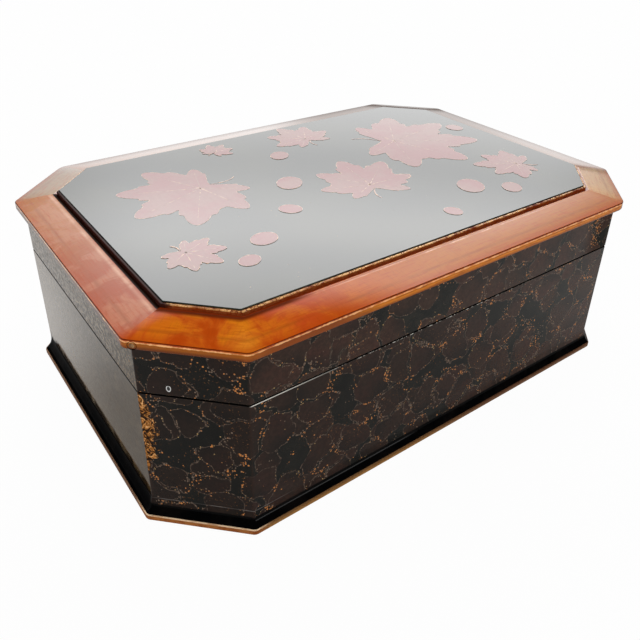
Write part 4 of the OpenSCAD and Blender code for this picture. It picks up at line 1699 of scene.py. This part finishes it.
class TEABOX_OT_tray(bpy.types.Operator):
    """Makes the shallow tray that rests on the battens"""

    bl_idname = "tea_box.tray"
    bl_label = "Tray"

    def execute(self, context):
        form = context.scene.tea_box_form
        edge = form.board_edge / MM
        coat = finish_named(context, "tray_lacquer")
        low, high = foot_of("tray_wall_front"), head_of("tray_wall_front")
        out, inner = outer_of("tray_wall"), inner_of("tray_wall")
        section = [(out, low, edge), (out, high, TRAY_LIP),
                   (inner, high, TRAY_LIP), (inner, low, TRAY_INNER_EDGE)]
        ring_board("tray_wall", section, TRAY_CORNER, "tray", "tray_lacquer", coat)
        board = Form()
        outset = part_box("tray_floor")[1].x / MM - HALF_LENGTH
        low, high = foot_of("tray_floor"), head_of("tray_floor")
        slab(board, outset, low, high, TRAY_FLOOR_EDGE, TRAY_FLOOR_EDGE, [TRAY_FLOOR_CORNER] * 8)
        dress(board.build("tray_floor_board"), "tray", "tray_lacquer", coat, "tray_floor")
        return {"FINISHED"}


# ---------------------------------------------------------------- stage

# The camera's place in metres, its turn in degrees, and its shift as shares of the frame.
CAMERA_PLACE = (-0.21753, -0.28297, 0.25115)
CAMERA_TURN = (61.6, -1.415, -36.438)
CAMERA_SHIFT = (-0.0125, -0.1172)
CAMERA_NEAR = 0.01
# Half the floor's width, and how far it lies below the box's foot, in metres.
FLOOR_REACH = 30.0
FLOOR_DROP = 0.0002
# The share of plain white that the camera sees on the floor. In mirror images that share grows towards
# the back: from and to in metres, and the shares there.
FLOOR_WHITE = 0.97
FLOOR_PALES = (0.0, 0.13, 0.07, 1.0)
WHITE = (1, 1, 1, 1)
# The way from the box to the soft light in front.
FRONT = (-0.61, -0.79, 0.0)
# Narrow lights for the arrises: azimuth from and to, elevation from and to, brightness.
STRIPS = [(148.0, 166.0, 1.0, 4.5, 9.0), (-110.0, -50.0, 2.0, 7.0, 2.0)]
# The light card's brightness at its foot, in two parts: azimuths from and to, and the levels there.
CARD_FOOT = ((29.0, 35.0, 0.62, 0.34), (46.0, 66.0, 0.0, 0.34))
# The elevations over which it comes up from the floor and then changes to its middle level.
CARD_RISE = (-1.0, 5.5)
CARD_MIDDLE = (8.0, 17.0)
MIDDLE_LEVEL = 0.61
# What it gains above that and the share that it keeps near its top: elevations from and to, and the values.
CARD_GAIN = (20.5, 28.0, 0.0, 0.53)
CARD_DIMS = (31.0, 38.0, 1.0, 0.76)
# Where its upper edge and its two sides fade, in degrees.
CARD_TOP = (47.5, 41.5)
CARD_SIDES = ((-9.0, 23.0), (75.5, 54.5))
# The darker bar in the card: its elevations and softness, and the azimuths over which it deepens, with
# its depths there.
BAR = (8.6, 13.6, 1.6)
BAR_DEPTH = (13.0, 20.0, 0.0, 0.62)
# How softly a strip ends, in degrees.
STRIP_SOFT = 1.0
# The low light in front: its elevations and softness, and how it fades round the sides.
FRONT_BAND = (3.0, 32.0, 6.0)
FRONT_FADE = (-0.05, 0.2)
# The elevations over which the soft light overhead begins.
OVERHEAD_RISE = (54.0, 62.0)
# The even part of the soft light, and what mirror images show in place of all of it.
EVEN_LIGHT = 0.1
MIRRORED_LIGHT = 0.015


def compass(n, way):
    """The azimuth of a sky direction, from +Y towards +X, and its elevation, in degrees."""
    azimuth = n.math("MULTIPLY", n.math("ARCTAN2", way[0], way[1]), 180 / math.pi)
    rise = n.math("MULTIPLY", n.math("ARCSINE", way[2]), 180 / math.pi)
    return azimuth, rise


def light_card(n, azimuth, rise):
    """The large card behind the box. It brightens in steps with height and dims near its top."""
    foot = n.math("ADD", *[n.ease(azimuth, *part) for part in CARD_FOOT])
    card = n.math("ADD", n.ease(rise, *CARD_RISE, 0.0, foot), n.ease(rise, *CARD_GAIN))
    card = n.math("ADD", card, n.ease(rise, *CARD_MIDDLE, 0.0, n.math("SUBTRACT", MIDDLE_LEVEL, foot)))
    card = n.math("MULTIPLY", card, n.ease(rise, *CARD_DIMS))
    bar = n.math("MULTIPLY", n.window(rise, *BAR), n.ease(azimuth, *BAR_DEPTH))
    card = n.math("MULTIPLY", card, n.math("SUBTRACT", 1.0, bar))
    card = n.math("MULTIPLY", card, n.ease(rise, *CARD_TOP))
    for side in CARD_SIDES:
        card = n.math("MULTIPLY", card, n.ease(azimuth, *side))
    return card


def seen_directly(n, path):
    """1 for what the camera sees directly or through glass."""
    return n.math("ADD", path["Is Camera Ray"], path["Is Transmission Ray"], clamp=True)


class TEABOX_OT_stage(bpy.types.Operator):
    """Sets the pale floor, the soft studio light and the camera"""

    bl_idname = "tea_box.stage"
    bl_label = "Stage"

    def execute(self, context):
        stage = context.scene.tea_box_stage
        self.light(context.scene, stage)
        self.ground(stage)
        camera = bpy.data.objects.new("camera", bpy.data.cameras.new("camera"))
        context.scene.collection.objects.link(camera)
        camera.location = CAMERA_PLACE
        camera.rotation_euler = [math.radians(a) for a in CAMERA_TURN]
        camera.data.lens = stage.lens
        camera.data.shift_x, camera.data.shift_y = CAMERA_SHIFT
        camera.data.clip_start = CAMERA_NEAR
        context.scene.camera = camera
        context.scene.view_settings.view_transform = "Standard"
        return {"FINISHED"}

    def light(self, scene, stage):
        """The sky: the card, the strips, the soft lights, and white for the camera."""
        world = bpy.data.worlds.new("studio")
        scene.world = world
        world.use_nodes = True
        world.node_tree.nodes.clear()
        n = Nodes(world.node_tree)
        sky = n.add("TexCoord").outputs["Generated"]
        azimuth, rise = compass(n, n.apart(sky))
        total = n.math("MULTIPLY", light_card(n, azimuth, rise), stage.card)
        for low, high, foot, head, level in STRIPS:
            across = n.window(azimuth, low, high, STRIP_SOFT)
            strip = n.math("MULTIPLY", across, n.window(rise, foot, head, STRIP_SOFT))
            total = n.math("ADD", total, n.math("MULTIPLY", strip, level))
        ahead = n.ease(n.dot(sky, FRONT), *FRONT_FADE)
        front = n.math("MULTIPLY", ahead, n.window(rise, *FRONT_BAND))
        soft = n.math("ADD", EVEN_LIGHT, n.math("MULTIPLY", front, stage.fill))
        soft = n.math("ADD", soft, n.math("MULTIPLY", n.ease(rise, *OVERHEAD_RISE), stage.overhead))
        path = n.add("LightPath").outputs
        total = n.math("ADD", total, n.blend(path["Is Glossy Ray"], soft, MIRRORED_LIGHT))
        strength = n.blend(seen_directly(n, path), total, 1.0)
        back = n.add("Background", {"Color": WHITE, "Strength": strength})
        out = n.add("OutputWorld")
        n.feed(out.inputs["Surface"], back.outputs[0])

    def ground(self, stage):
        """The floor: pale paper that the camera sees as white."""
        mesh = bpy.data.meshes.new("floor")
        r = FLOOR_REACH
        low = -FLOOR_DROP
        mesh.from_pydata([(-r, -r, low), (r, -r, low), (r, r, low), (-r, r, low)], [], [(0, 1, 2, 3)])
        floor = bpy.data.objects.new("floor", mesh)
        bpy.context.scene.collection.objects.link(floor)
        material = bpy.data.materials.new("floor_paper")
        material.use_nodes = True
        material.node_tree.nodes.clear()
        n = Nodes(material.node_tree)
        paper = n.add("BsdfDiffuse", {"Color": rgb(stage.floor)})
        white = n.add("Emission", {"Color": WHITE, "Strength": 1.0})
        path = n.add("LightPath").outputs
        share = n.math("MULTIPLY", seen_directly(n, path), FLOOR_WHITE)
        behind = n.ease(n.apart(n.add("TexCoord").outputs["Object"])[1], *FLOOR_PALES)
        share = n.math("ADD", share, n.math("MULTIPLY", path["Is Glossy Ray"], behind), clamp=True)
        both = n.add("MixShader", {0: share, 1: paper.outputs[0], 2: white.outputs[0]})
        out = n.add("OutputMaterial")
        n.feed(out.inputs["Surface"], both.outputs[0])
        mesh.materials.append(material)


# ---------------------------------------------------------------- add-on

STEPS = [TEABOX_OT_plinth, TEABOX_OT_base_walls, TEABOX_OT_inside, TEABOX_OT_lid_walls, TEABOX_OT_lid_frame,
         TEABOX_OT_panel, TEABOX_OT_painting, TEABOX_OT_peg, TEABOX_OT_tray, TEABOX_OT_stage]


class TEABOX_PT_panel(bpy.types.Panel):
    """Lists the pieces of the box"""

    bl_idname = "TEABOX_PT_panel"
    bl_label = "Tea Box"
    bl_space_type = "VIEW_3D"
    bl_region_type = "UI"
    bl_category = "Tea Box"

    def draw(self, context):
        column = self.layout.column(align=True)
        for step in STEPS:
            column.operator(step.bl_idname)
        for group_name in ("tea_box_form", "tea_box_look", "tea_box_stage"):
            settings = getattr(context.scene, group_name)
            box = self.layout.box()
            for key in settings.__annotations__:
                box.prop(settings, key)


SETTINGS = {"tea_box_form": TeaBoxForm, "tea_box_look": TeaBoxLook, "tea_box_stage": TeaBoxStage}


def register():
    for cls in [*SETTINGS.values(), *STEPS, TEABOX_PT_panel]:
        bpy.utils.register_class(cls)
    for name, cls in SETTINGS.items():
        setattr(bpy.types.Scene, name, bpy.props.PointerProperty(type=cls))


def unregister():
    for name in SETTINGS:
        delattr(bpy.types.Scene, name)
    for cls in reversed([*SETTINGS.values(), *STEPS, TEABOX_PT_panel]):
        bpy.utils.unregister_class(cls)


def main():
    register()
    for step in STEPS:
        call = getattr(bpy.ops.tea_box, step.bl_idname.split(".")[1])
        call()


if __name__ == "__main__":
    main()
